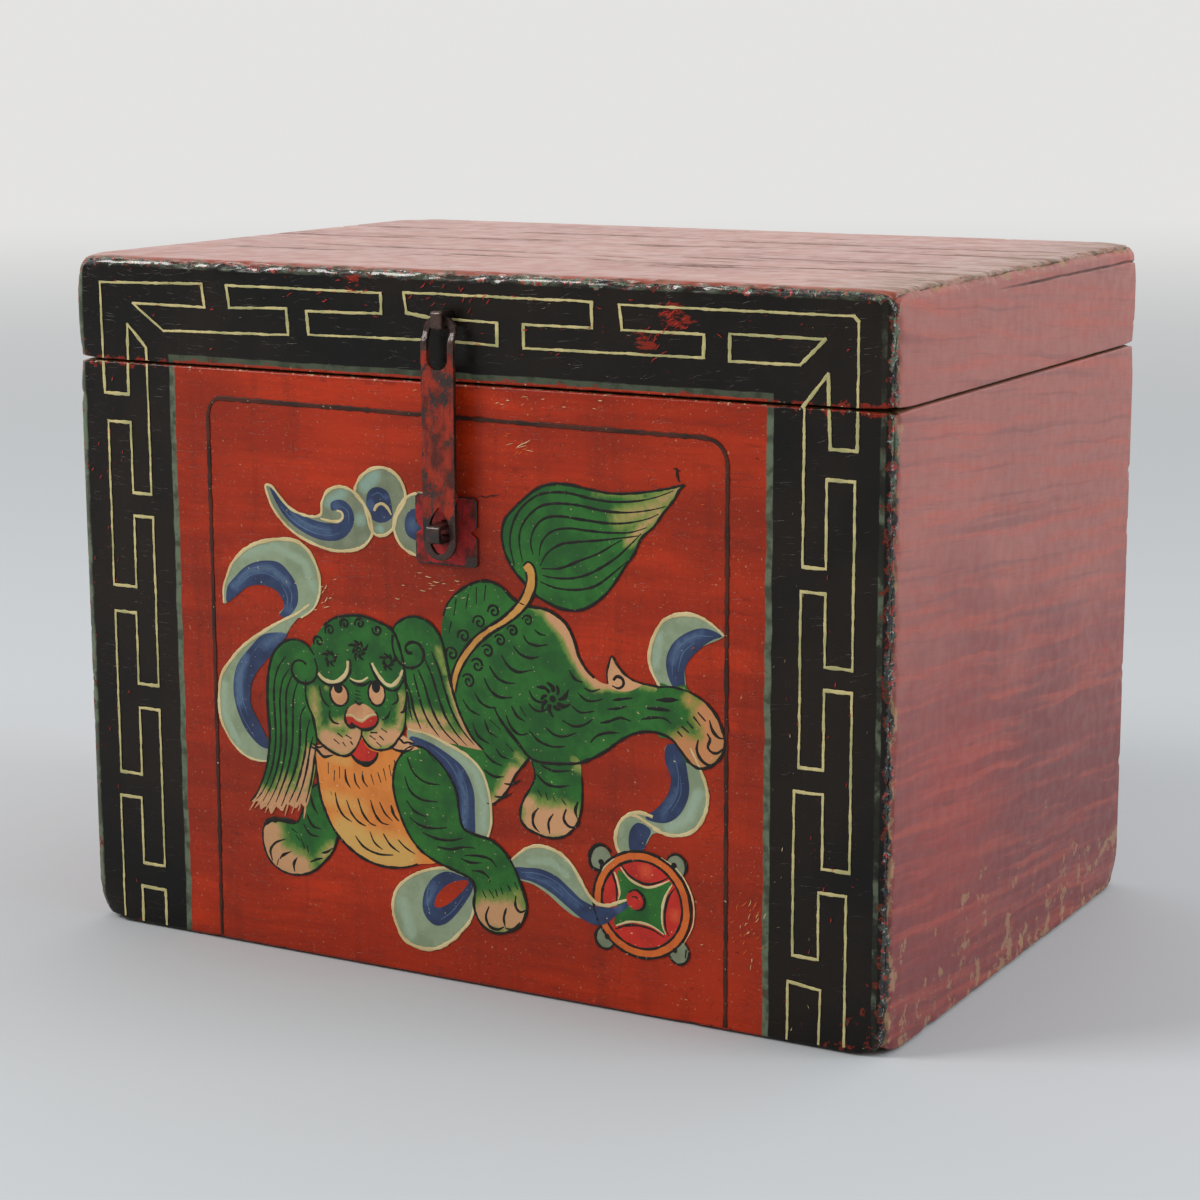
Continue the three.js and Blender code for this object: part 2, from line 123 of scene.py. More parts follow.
def on_front(point: Point, level: float) -> Vector:
    """Places a point of the painting on the front.

    Args:
        point: Millimetres from the left edge and from the floor.
        level: How many coats of paint lie under it.

    Returns:
        The place in the frame.
    """
    return Vector((point[0] * MM - HALF_WIDTH, -HALF_DEPTH - level * PAINT_LEVEL, point[1] * MM))


def finished(piece: bpy.types.Object, body: Body, nodes: Iterable[str] = ()) -> None:
    """Hands a finished piece to the frame.

    Args:
        piece: The piece, in place.
        body: The body that it moves with.
        nodes: The CAD nodes that it stands for.
    """
    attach(piece, body.value)
    names = list(nodes)
    if names:
        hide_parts(*names)
    log.info("%s: %d faces on %s", piece.name, len(piece.data.polygons), body.value)


def object_from(name: str, mesh: bpy.types.Mesh) -> bpy.types.Object:
    """Links a mesh into the scene as an object at the origin.

    Args:
        name: Its name.
        mesh: Its mesh.

    Returns:
        The object.
    """
    made = bpy.data.objects.new(name, mesh)
    bpy.context.scene.collection.objects.link(made)
    return made


def evaluated(source: bpy.types.Object) -> bpy.types.Mesh:
    """Gives an object's mesh as its modifiers leave it.

    Args:
        source: The object.

    Returns:
        A new mesh.
    """
    bpy.context.view_layer.update()
    graph = bpy.context.evaluated_depsgraph_get()
    return bpy.data.meshes.new_from_object(source.evaluated_get(graph))


def built(name: str, made: bmesh.types.BMesh) -> bpy.types.Object:
    """Turns an edit mesh that is ready into an object at the origin.

    Args:
        name: The object's name.
        made: The edit mesh, which is used up.

    Returns:
        The object.
    """
    mesh = bpy.data.meshes.new(name)
    made.to_mesh(mesh)
    made.free()
    return object_from(name, mesh)


class Graph:
    """Adds linked nodes to one node tree."""

    def __init__(self, tree: bpy.types.NodeTree) -> None:
        """Keeps the tree that the nodes go into."""
        self.tree = tree

    def feed(self, socket: Socket, value: object) -> None:
        """Links a socket into an input, or sets the input's own value.

        Args:
            socket: The input.
            value: A socket, or a plain value.
        """
        if isinstance(value, Socket):
            self.tree.links.new(value, socket)
        elif socket.type == "RGBA" and len(value) == 3:
            socket.default_value = (*value, 1.0)
        else:
            socket.default_value = value

    def node(self, kind: str, inputs: dict | None = None, **settings: object) -> bpy.types.Node:
        """Adds a node.

        Args:
            kind: Blender's name for the node.
            inputs: A value or a socket for each input, by its name or number.
            **settings: The node's own settings.

        Returns:
            The node.
        """
        made = self.tree.nodes.new(kind)
        for name, value in settings.items():
            setattr(made, name, value)
        for key, value in (inputs or {}).items():
            self.feed(made.inputs[key], value)
        return made

    def math(self, operation: str, first: object, second: object = 0.0) -> Socket:
        """Works out one value from two."""
        return self.node("ShaderNodeMath", {0: first, 1: second}, operation=operation).outputs[0]

    def times(self, first: object, second: object) -> Socket:
        """Multiplies two values."""
        return self.math("MULTIPLY", first, second)

    def plus(self, first: object, second: object) -> Socket:
        """Adds two values."""
        return self.math("ADD", first, second)

    def minus(self, first: object, second: object) -> Socket:
        """Takes the second value from the first."""
        return self.math("SUBTRACT", first, second)

    def most(self, first: object, second: object) -> Socket:
        """Gives the larger of two values."""
        return self.math("MAXIMUM", first, second)

    def layer(self, under: object, over: object, mask: object, share: float) -> Socket:
        """Lays a share of one colour over another, where a mask lets it show."""
        return self.mix(self.times(mask, share), under, over)

    def stain(
        self, under: object, over: object, mask: object, low: float, high: float, share: float = 1.0,
    ) -> Socket:
        """Lays one colour over another, up to a share of it as a mask rises between two levels."""
        return self.mix(self.ramp(mask, low, high, 0.0, share), under, over)

    def wander(self, vector: object, scale: float, low: float, high: float) -> Socket:
        """Gives a value that wanders slowly between two limits."""
        return self.ramp(self.noise(vector, scale, 4.0), 0.3, 0.7, low, high)

    def ramp(self, value: object, low: float, high: float, start: float = 0.0, end: float = 1.0) -> Socket:
        """Maps a value smoothly from one range to another, held at both ends."""
        inputs = {0: value, 1: low, 2: high, 3: start, 4: end}
        return self.node("ShaderNodeMapRange", inputs, interpolation_type="SMOOTHSTEP").outputs[0]

    def band(self, value: object, low: float, high: float, soft: float) -> Socket:
        """Gives 1 between two limits and 0 outside, with soft ends.

        Args:
            value: The value to test.
            low: The lower limit.
            high: The upper limit.
            soft: Half the width of the change at each limit.

        Returns:
            The mask.
        """
        rise = self.ramp(value, low - soft, low + soft)
        fall = self.ramp(value, high - soft, high + soft, 1.0, 0.0)
        return self.times(rise, fall)

    def mix(self, factor: object, first: object, second: object, blend: str = "MIX") -> Socket:
        """Mixes two colours."""
        inputs = {0: factor, 6: first, 7: second}
        return self.node("ShaderNodeMix", inputs, data_type="RGBA", blend_type=blend).outputs[2]

    def stretch(self, vector: object, scale: Sequence[float]) -> Socket:
        """Multiplies a vector, axis by axis."""
        return self.node("ShaderNodeVectorMath", {0: vector, 1: scale}, operation="MULTIPLY").outputs[0]

    def shift(self, vector: object, offset: object) -> Socket:
        """Adds two vectors."""
        return self.node("ShaderNodeVectorMath", {0: vector, 1: offset}, operation="ADD").outputs[0]

    def noise(self, vector: object, scale: object, detail: float = 3.0, roughness: float = 0.5) -> Socket:
        """Adds a noise, from 0 to 1, whose scale is in grains for each metre."""
        inputs = {"Vector": vector, "Scale": scale, "Detail": detail, "Roughness": roughness}
        return self.node("ShaderNodeTexNoise", inputs).outputs["Fac"]

    def drift(self, vector: object, scale: float, detail: float) -> Socket:
        """Adds a noise in three directions, each from 0 to 1."""
        inputs = {"Vector": vector, "Scale": scale, "Detail": detail}
        return self.node("ShaderNodeTexNoise", inputs).outputs["Color"]

    def attribute(self, name: str) -> Socket:
        """Reads one of the mesh's own attributes."""
        return self.node("ShaderNodeAttribute", attribute_name=name).outputs["Fac"]

    def place(self) -> Socket:
        """Gives the place in the frame, in metres."""
        return self.node("ShaderNodeTexCoord").outputs["Object"]

    def split(self, vector: object) -> tuple[Socket, ...]:
        """Splits a vector into its three numbers."""
        return tuple(self.node("ShaderNodeSeparateXYZ", {0: vector}).outputs)

    def near(self, place: object, centre: Sequence[float], reach: float) -> Socket:
        """Gives 1 at a point and 0 from a distance of it on."""
        away = self.node(
            "ShaderNodeVectorMath", {0: place, 1: centre}, operation="DISTANCE",
        ).outputs["Value"]
        return self.ramp(away, 0.0, reach, 1.0, 0.0)

    def turned(self, vector: object, degrees: float, axis: Sequence[float]) -> Socket:
        """Turns a vector about an axis through the origin."""
        inputs = {"Vector": vector, "Axis": axis, "Angle": math.radians(degrees)}
        return self.node("ShaderNodeVectorRotate", inputs).outputs[0]


class Effect:
    """A shader node group that several finishes share."""

    def __init__(self, name: str, inputs: dict[str, object], outputs: Sequence[str]) -> None:
        """Makes the group and its sockets.

        Args:
            name: The group's name.
            inputs: The default of each input, a number or a vector.
            outputs: The names of the outputs, all of them masks.
        """
        self.tree = bpy.data.node_groups.new(name, "ShaderNodeTree")
        for label, default in inputs.items():
            kind = "NodeSocketVector" if isinstance(default, tuple) else "NodeSocketFloat"
            made = self.tree.interface.new_socket(label, in_out="INPUT", socket_type=kind)
            made.default_value = default
        for label in outputs:
            self.tree.interface.new_socket(label, in_out="OUTPUT", socket_type="NodeSocketFloat")
        self.graph = Graph(self.tree)
        self.given = self.graph.node("NodeGroupInput").outputs
        self.made = self.graph.node("NodeGroupOutput").inputs

    def placed(self, graph: Graph, **values: object) -> bpy.types.NodeOutputs:
        """Adds the group to a material's tree.

        Args:
            graph: The material's tree.
            **values: A value or socket for each input, with _ for a space in its name.

        Returns:
            The group's outputs there.
        """
        node = graph.node("ShaderNodeGroup", node_tree=self.tree)
        for label, value in values.items():
            graph.feed(node.inputs[label.replace("_", " ")], value)
        return node.outputs


class Effects:
    """The effects that the finishes share."""

    def __init__(self) -> None:
        """Builds every group once."""
        self.grain = self._grain()
        self.chips = self._chips()
        self.crust = self._crust()
        self.crackle = self._crackle()
        self.dust = self._dust()

    def _grain(self) -> Effect:
        """Long streaks, as wood grain or a dragged brush leaves them.

        Returns:
            The group, with a broad Streak and a fine Fibre.
        """
        defaults = {"Place": (0.0, 0.0, 0.0), "Run": (1.0, 1.0, 1.0), "Warp": 0.003}
        effect = Effect("long_grain", defaults, ("Streak", "Fibre"))
        graph = effect.graph
        drift = graph.noise(effect.given["Place"], 14.0, 2.0)
        lift = graph.times(graph.minus(drift, 0.5), effect.given["Warp"])
        bent = graph.shift(
            effect.given["Place"],
            graph.node("ShaderNodeCombineXYZ", {0: lift, 1: lift, 2: lift}).outputs[0],
        )
        scaled = graph.stretch(bent, effect.given["Run"])
        graph.feed(effect.made["Streak"], graph.noise(scaled, 60.0, 4.0, 0.6))
        graph.feed(effect.made["Fibre"], graph.noise(scaled, 420.0, 3.0, 0.65))
        return effect

    def _chips(self) -> Effect:
        """Paint knocked off in ragged spots, more of it where the edge value is high.

        Returns:
            The group, with Chips where paint is gone and Rim just around it.
        """
        defaults = {"Place": (0.0, 0.0, 0.0), "Edge": 0.0, "Size": 160.0, "Amount": 0.5}
        effect = Effect("paint_chips", defaults, ("Chips", "Rim"))
        graph = effect.graph
        grains = graph.noise(effect.given["Place"], effect.given["Size"], 5.0, 0.68)
        pull = graph.times(effect.given["Edge"], 0.30)
        level = graph.plus(graph.plus(grains, pull), graph.times(effect.given["Amount"], 0.2))
        graph.feed(effect.made["Chips"], graph.ramp(level, 0.735, 0.765))
        graph.feed(effect.made["Rim"], graph.ramp(level, 0.69, 0.735))
        return effect

    def _crust(self) -> Effect:
        """Broken layers of paint along a worn edge, with every older coat showing somewhere.

        Returns:
            The group: Crust where the layers are broken, then Green and Ember for the coats that show
            inside it, Glint where pale specks are painted in as highlights, and the Height of the crumbs.
        """
        defaults = {"Place": (0.0, 0.0, 0.0), "Edge": 0.0, "Amount": 0.5}
        effect = Effect("edge_crust", defaults, ("Crust", "Green", "Ember", "Glint", "Height"))
        graph = effect.graph
        place = effect.given["Place"]
        spread = graph.times(graph.minus(graph.noise(place, 75.0, 4.0, 0.6), 0.5), 1.5)
        grit = graph.noise(place, 360.0, 4.0, 0.7)
        reach = graph.plus(graph.plus(effect.given["Edge"], spread), graph.times(grit, 0.45))
        reach = graph.plus(reach, effect.given["Amount"])
        graph.feed(effect.made["Crust"], graph.ramp(reach, 0.96, 1.06))
        graph.feed(
            effect.made["Green"],
            graph.ramp(graph.noise(graph.shift(place, (4.0, 1.0, 2.0)), 130.0, 5.0, 0.68), 0.47, 0.55),
        )
        graph.feed(
            effect.made["Ember"],
            graph.ramp(graph.noise(graph.shift(place, (1.0, 7.0, 5.0)), 240.0, 4.0, 0.65), 0.56, 0.60),
        )
        # Glint marks where pale specks are painted in as highlights; it is not a coat of paint.
        graph.feed(
            effect.made["Glint"],
            graph.ramp(graph.noise(graph.shift(place, (9.0, 2.0, 3.0)), 420.0, 3.0, 0.6), 0.585, 0.65),
        )
        graph.feed(effect.made["Height"], graph.plus(grit, graph.noise(place, 150.0, 4.0, 0.6)))
        return effect

    def _crackle(self) -> Effect:
        """A fine net of cracks in old paint.

        Returns:
            The group, with Cracks.
        """
        defaults = {"Place": (0.0, 0.0, 0.0), "Run": (1.0, 1.0, 1.0), "Width": 0.05}
        effect = Effect("paint_crackle", defaults, ("Cracks",))
        graph = effect.graph
        scaled = graph.stretch(effect.given["Place"], effect.given["Run"])
        waver = graph.drift(scaled, 90.0, 2.0)
        bent = graph.shift(scaled, graph.stretch(waver, (0.012, 0.012, 0.012)))
        cells = graph.node(
            "ShaderNodeTexVoronoi", {"Vector": bent, "Scale": 110.0}, feature="DISTANCE_TO_EDGE",
        ).outputs[0]
        line = graph.node(
            "ShaderNodeMapRange", {0: cells, 1: 0.0, 2: effect.given["Width"], 3: 1.0, 4: 0.0},
        ).outputs[0]
        broken = graph.ramp(graph.noise(effect.given["Place"], 70.0, 3.0), 0.45, 0.62)
        graph.feed(effect.made["Cracks"], graph.times(line, broken))
        return effect

    def _dust(self) -> Effect:
        """Soft patches and fine specks of dirt.

        Returns:
            The group, with broad Patches and small Specks.
        """
        defaults = {"Place": (0.0, 0.0, 0.0), "Size": 9.0}
        effect = Effect("old_dust", defaults, ("Patches", "Specks"))
        graph = effect.graph
        broad = graph.noise(effect.given["Place"], effect.given["Size"], 4.0, 0.55)
        graph.feed(effect.made["Patches"], graph.ramp(broad, 0.35, 0.68))
        fine = graph.noise(effect.given["Place"], 700.0, 2.0, 0.6)
        graph.feed(effect.made["Specks"], graph.ramp(fine, 0.66, 0.74))
        return effect


@dataclass(frozen=True)
class Finish:
    """A finish, with its material's name and its plain gloss."""

    name: str
    effects: Effects
    gloss: float = 0.45

    def started(self) -> tuple[bpy.types.Material, Graph, bpy.types.Node]:
        """Makes an empty material.

        Returns:
            The material, its tree, and its Principled BSDF.
        """
        material = bpy.data.materials.new(self.name)
        material.use_nodes = True
        shader = material.node_tree.nodes["Principled BSDF"]
        shader.inputs["Specular IOR Level"].default_value = self.gloss
        shader.inputs["Coat Roughness"].default_value = 0.12
        return material, Graph(material.node_tree), shader

    def coloured(self, graph: Graph, shader: bpy.types.Node, colour: object, rough: object) -> None:
        """Gives the surface its colour and its roughness."""
        graph.feed(shader.inputs["Base Color"], colour)
        graph.feed(shader.inputs["Roughness"], rough)

    def bumped(self, graph: Graph, shader: bpy.types.Node, height: object, depth: float) -> None:
        """Raises and sinks the surface.

        Args:
            graph: The material's tree.
            shader: The Principled BSDF.
            height: The height, from 0 to 1.
            depth: What a height of 1 stands for, in metres.
        """
        bump = graph.node("ShaderNodeBump", {"Distance": depth, "Height": height, "Strength": 1.0})
        graph.feed(shader.inputs["Normal"], bump.outputs["Normal"])


@dataclass(frozen=True)
class BoardRelief:
    """The relief that the front's paint takes from the boards under it."""

    effects: Effects

    def height(self, graph: Graph, place: object) -> Socket:
        """Adds the boards' grain and the paint's grit.

        Args:
            graph: The material's tree.
            place: The place in the frame.

        Returns:
            The height, from 0 to 1.
        """
        grain = self.effects.grain.placed(graph, Place=place, Run=(0.12, 1.0, 1.0), Warp=0.004)
        grit = graph.noise(place, 520.0, 3.0, 0.6)
        lumps = graph.noise(place, 45.0, 2.0, 0.5)
        rough = graph.times(grit, 0.30)
        broad = graph.times(grain["Streak"], 0.55)
        fine = graph.times(grain["Fibre"], 0.22)
        return graph.plus(graph.plus(rough, broad), graph.plus(fine, lumps))


@dataclass(frozen=True)
class CrustTones:
    """The colours that show in a broken edge, and the pale specks painted in there as highlights."""

    dark: Colour = srgb(22, 21, 24)
    green: Colour = srgb(94, 108, 84)
    ember: Colour = srgb(178, 44, 26)
    painted_glint: Colour = srgb(176, 180, 176)

    def over(self, graph: Graph, crust: bpy.types.NodeOutputs, ground: object, place: object) -> Socket:
        """Lays the crust over a ground colour, with most of its green high up and painted highlight specks
        on top.

        Args:
            graph: The material's tree.
            crust: The outputs of the edge crust there.
            ground: The colour under it.
            place: The place in the frame.

        Returns:
            The colour.
        """
        green = graph.times(crust["Green"], graph.ramp(graph.split(place)[2], 0.30, 0.39, 0.25, 1.0))
        tone = graph.mix(green, self.dark, self.green)
        tone = graph.layer(tone, self.ember, crust["Ember"], 0.9)
        # The glint is a painted highlight: pale specks that stand in for light caught by the glossy crumbs.
        tone = graph.layer(tone, self.painted_glint, crust["Glint"], 0.75)
        return graph.mix(crust["Crust"], ground, tone)


@dataclass(frozen=True)
class BoardPaint(Finish):
    """Old paint on boards, broken up into a glossy crust along the worn edges."""

    crust_gloss: float = 0.9
    crumb_height: float = 3.2

    def crusted(
        self, graph: Graph, shader: bpy.types.Node, crust: bpy.types.NodeOutputs, height: object,
        depth: float,
    ) -> None:
        """Gives the crust its gloss, and its crumbs over the relief of the boards.

        Args:
            graph: The material's tree.
            shader: The Principled BSDF.
            crust: The outputs of the edge crust there.
            height: The boards' own relief.
            depth: What a height of 1 stands for, in metres.
        """
        graph.feed(shader.inputs["Coat Weight"], graph.times(crust["Crust"], self.crust_gloss))
        crumbs = graph.times(crust["Height"], graph.times(crust["Crust"], self.crumb_height))
        self.bumped(graph, shader, graph.plus(height, crumbs), depth)


@dataclass(frozen=True)
class FrontPaint(BoardPaint):
    """The front's ground: a red panel in a black frame, with green lines where they meet."""

    red: Colour = srgb(166, 44, 16)
    bright_red: Colour = srgb(196, 54, 18)
    brown_red: Colour = srgb(118, 36, 18)
    black: Colour = srgb(11, 11, 10)
    worn_black: Colour = srgb(38, 28, 20)
    strip: Colour = srgb(104, 116, 94)
    dark_strip: Colour = srgb(70, 76, 60)
    under_red: Colour = srgb(150, 40, 20)
    wood: Colour = srgb(74, 56, 42)
    cream: Colour = srgb(206, 196, 160)
    crack: Colour = srgb(52, 26, 20)
    pale_speck: Colour = srgb(206, 150, 112)
    dim_strip: Colour = srgb(46, 50, 36)

    PANEL = (-0.2175, 0.2166)
    PANEL_TOP = (0.3945, 0.3952)
    STRIP = (-0.2218, 0.2209)
    STRIP_TOP = (0.3982, 0.3990)
    RIGHT_RIM = (0.2893, 0.2926)
    LEFT_RIM = (-0.2990, -0.2922)
    OUTER_RIM = (-0.3010, -0.2930)
    TOP_RIM = (0.4552, 0.4595)
    BRIGHT = (((-0.085, -0.21, 0.355), 0.05), ((0.165, -0.21, 0.130), 0.06), ((0.18, -0.21, 0.03), 0.06))
    RUBBED = (
        ((0.155, -0.21, 0.440), 0.030), ((0.137, -0.21, 0.425), 0.022), ((-0.075, -0.21, 0.456), 0.020),
    )

    def ground(self, graph: Graph, place: object) -> Socket:
        """Lays out the panel, the frame and the lines between them.

        Args:
            graph: The material's tree.
            place: The place in the frame.

        Returns:
            The colour.
        """
        waver = graph.drift(place, 48.0, 4.0)
        offset = graph.shift(graph.stretch(waver, (0.0026, 0.0026, 0.0026)), (-0.0013, -0.0013, -0.0013))
        x, _, z = graph.split(graph.shift(place, offset))
        soft = 0.0004
        inside = graph.times(graph.band(x, *self.PANEL, soft), graph.ramp(z, *self.PANEL_TOP, 1.0, 0.0))
        wide = graph.times(graph.band(x, *self.STRIP, soft), graph.ramp(z, *self.STRIP_TOP, 1.0, 0.0))
        rims = graph.most(graph.band(x, *self.RIGHT_RIM, soft), graph.band(x, *self.LEFT_RIM, soft))
        rims = graph.most(rims, graph.band(z, *self.TOP_RIM, soft))
        kept = graph.ramp(graph.noise(place, 34.0, 5.0, 0.65), 0.46, 0.58)
        rims = graph.times(rims, graph.plus(graph.times(kept, 0.70), 0.08))
        grain = self.effects.grain.placed(graph, Place=place, Run=(0.10, 1.0, 1.0), Warp=0.01)
        upright = self.effects.grain.placed(graph, Place=place, Run=(1.0, 1.0, 0.12), Warp=0.01)
        dust = self.effects.dust.placed(graph, Place=place, Size=7.0)
        tone = graph.stain(self.red, self.bright_red, grain["Streak"], 0.36, 0.66)
        tone = graph.layer(tone, self.brown_red, dust["Patches"], 0.5)
        tone = graph.stain(tone, self.brown_red, grain["Fibre"], 0.5, 0.7, 0.3)
        tone = graph.stain(tone, self.brown_red, upright["Streak"], 0.52, 0.70, 0.35)
        middle = graph.times(graph.band(z, 0.06, 0.30, 0.05), graph.ramp(upright["Fibre"], 0.35, 0.65))
        tone = graph.layer(tone, self.brown_red, middle, 0.22)
        for centre, reach in self.BRIGHT:
            tone = graph.layer(tone, self.bright_red, graph.near(place, centre, reach), 0.55)
        tone = graph.layer(tone, self.pale_speck, dust["Specks"], 0.45)
        flecks = graph.ramp(
            graph.noise(graph.shift(place, (3.1, 4.2, 1.3)), 400.0, 2.0), 0.69, 0.735, 0.0, 0.5,
        )
        tone = graph.mix(flecks, tone, self.pale_speck)
        faded = graph.stain(self.strip, self.dark_strip, graph.noise(place, 120.0, 4.0), 0.42, 0.66)
        dark = graph.layer(self.black, self.worn_black, dust["Patches"], 0.7)
        faded = graph.stain(faded, self.dim_strip, z, 0.3925, 0.3935, 0.6)
        dark = graph.mix(rims, dark, faded)
        left = graph.times(graph.band(x, *self.OUTER_RIM, soft), graph.ramp(kept, 0.0, 1.0, 0.4, 0.9))
        dark = graph.mix(left, dark, self.strip)
        for centre, reach in self.RUBBED:
            smear = graph.noise(
                graph.turned(graph.stretch(place, (0.5, 1.0, 1.3)), 30.0, (0.0, 1.0, 0.0)), 170.0, 6.0,
                0.72,
            )
            rubbed = graph.plus(graph.near(place, centre, reach), graph.times(smear, 2.2))
            dark = graph.stain(dark, self.under_red, rubbed, 1.90, 2.05, 0.8)
        ground = graph.mix(wide, dark, faded)
        return graph.mix(inside, ground, tone)

    def build(self) -> bpy.types.Material:
        """Makes the material.

        Returns:
            The material.
        """
        material, graph, shader = self.started()
        place = graph.place()
        edge = graph.attribute("edge")
        seam = graph.attribute("seam")
        relief = BoardRelief(self.effects).height(graph, place)
        colour = self.ground(graph, place)
        rubs = self.effects.chips.placed(graph, Place=place, Edge=edge, Size=120.0, Amount=-0.10)
        colour = graph.layer(colour, self.under_red, rubs["Rim"], 0.8)
        colour = graph.mix(rubs["Chips"], colour, self.wood)
        x, _, z = graph.split(place)
        thick = graph.most(graph.ramp(x, 0.284, 0.298, 0.0, 0.16), graph.ramp(z, 0.446, 0.458, 0.0, 0.26))
        crust = self.effects.crust.placed(graph, Place=place, Edge=edge, Amount=thick)
        colour = CrustTones().over(graph, crust, colour, place)
        lip = self.effects.chips.placed(
            graph, Place=graph.shift(place, (2.7, 1.3, 6.2)), Edge=seam, Size=150.0, Amount=-0.15,
        )
        colour = graph.layer(colour, self.under_red, lip["Rim"], 0.8)
        flakes = self.effects.chips.placed(
            graph, Place=graph.shift(place, (0.7, 5.3, 2.2)), Edge=seam, Size=300.0, Amount=-0.58,
        )
        colour = graph.layer(colour, self.cream, flakes["Chips"], 0.85)
        cracks = self.effects.crackle.placed(graph, Place=place, Run=(0.5, 1.0, 1.6), Width=0.035)
        colour = graph.layer(colour, self.crack, cracks["Cracks"], 0.3)
        rough = graph.wander(place, 130.0, 0.26, 0.44)
        self.coloured(graph, shader, colour, graph.most(rough, graph.times(rubs["Chips"], 0.75)))
        sunk = graph.minus(relief, graph.times(rubs["Chips"], 0.8))
        sunk = graph.minus(sunk, graph.times(cracks["Cracks"], 0.5))
        self.crusted(graph, shader, crust, sunk, 0.00024)
        return material


@dataclass(frozen=True)
class SidePaint(BoardPaint):
    """The sides' thin red, dragged on along the boards and faded, with bare wood at its edges."""

    upper: Colour = srgb(156, 92, 84)
    lower: Colour = srgb(116, 50, 50)
    streak: Colour = srgb(180, 80, 62)
    shade: Colour = srgb(110, 66, 66)
    wood: Colour = srgb(156, 124, 92)
    crack: Colour = srgb(36, 26, 22)
    fresh: Colour = srgb(164, 56, 44)
    thin: Colour = srgb(152, 104, 86)
    along_x: bool = False

    FRESH = ((0.30, -0.11, 0.13), 0.13)

    def build(self) -> bpy.types.Material:
        """Makes the material.

        Returns:
            The material.
        """
        material, graph, shader = self.started()
        place = graph.place()
        x, y, z = graph.split(place)
        if self.along_x:
            place = graph.node("ShaderNodeCombineXYZ", {0: y, 1: x, 2: z}).outputs[0]
        edge = graph.attribute("edge")
        crack = graph.attribute("crack")
        leaning = graph.turned(place, 5.0, (1.0, 0.0, 0.0))
        brush = self.effects.grain.placed(graph, Place=leaning, Run=(1.0, 0.08, 1.9), Warp=0.014)
        hairs = self.effects.grain.placed(
            graph, Place=graph.shift(leaning, (3.0, 1.0, 8.0)), Run=(1.0, 0.06, 2.6), Warp=0.010,
        )
        upright = self.effects.grain.placed(graph, Place=place, Run=(1.0, 1.0, 0.10), Warp=0.004)
        dust = self.effects.dust.placed(graph, Place=place, Size=8.0)
        level = graph.plus(z, graph.times(y, 0.16))
        level = graph.plus(level, graph.ramp(graph.noise(place, 9.0, 3.0), 0.3, 0.7, -0.05, 0.05))
        tone = graph.stain(self.lower, self.upper, level, 0.10, 0.32)
        tone = graph.stain(tone, self.streak, brush["Streak"], 0.44, 0.66, 0.52)
        tone = graph.stain(tone, self.shade, hairs["Streak"], 0.52, 0.68, 0.46)
        tone = graph.stain(tone, self.shade, hairs["Fibre"], 0.50, 0.68, 0.28)
        tone = graph.layer(tone, self.shade, dust["Patches"], 0.18)
        tone = graph.stain(tone, self.shade, upright["Fibre"], 0.60, 0.70, 0.20)
        fresh = graph.near(place, *self.FRESH)
        tone = graph.mix(
            graph.times(fresh, graph.ramp(brush["Fibre"], 0.3, 0.6, 0.1, 0.5)), tone, self.fresh,
        )
        rubs = self.effects.chips.placed(
            graph, Place=graph.stretch(place, (1.0, 0.8, 0.8)), Edge=edge, Size=70.0, Amount=-0.02,
        )
        ragged = self.effects.chips.placed(graph, Place=place, Edge=edge, Size=210.0, Amount=-0.05)
        few = self.effects.chips.placed(
            graph, Place=graph.shift(place, (5.0, 2.0, 7.0)), Edge=graph.ramp(z, 0.0, 0.24, 1.0, 0.0),
            Size=62.0, Amount=-0.62,
        )
        bare = graph.most(rubs["Chips"], graph.times(ragged["Chips"], 0.8))
        bare = graph.most(bare, graph.times(few["Chips"], 0.7))
        tone = graph.layer(tone, self.thin, rubs["Rim"], 0.45)
        tone = graph.layer(tone, self.wood, bare, 0.92)
        corner = graph.times(edge, graph.ramp(y, -0.1995, -0.2045))
        crust = self.effects.crust.placed(graph, Place=place, Edge=corner, Amount=0.0)
        tone = CrustTones().over(graph, crust, tone, place)
        tone = graph.mix(crack, tone, self.crack)
        rough = graph.wander(place, 90.0, 0.36, 0.52)
        self.coloured(graph, shader, tone, graph.most(rough, graph.times(bare, 0.75)))
        height = graph.plus(graph.times(hairs["Fibre"], 0.35), graph.times(upright["Streak"], 0.35))
        height = graph.plus(height, graph.times(upright["Fibre"], 0.30))
        height = graph.minus(height, graph.times(bare, 0.5))
        self.crusted(graph, shader, crust, height, 0.00020)
        return material


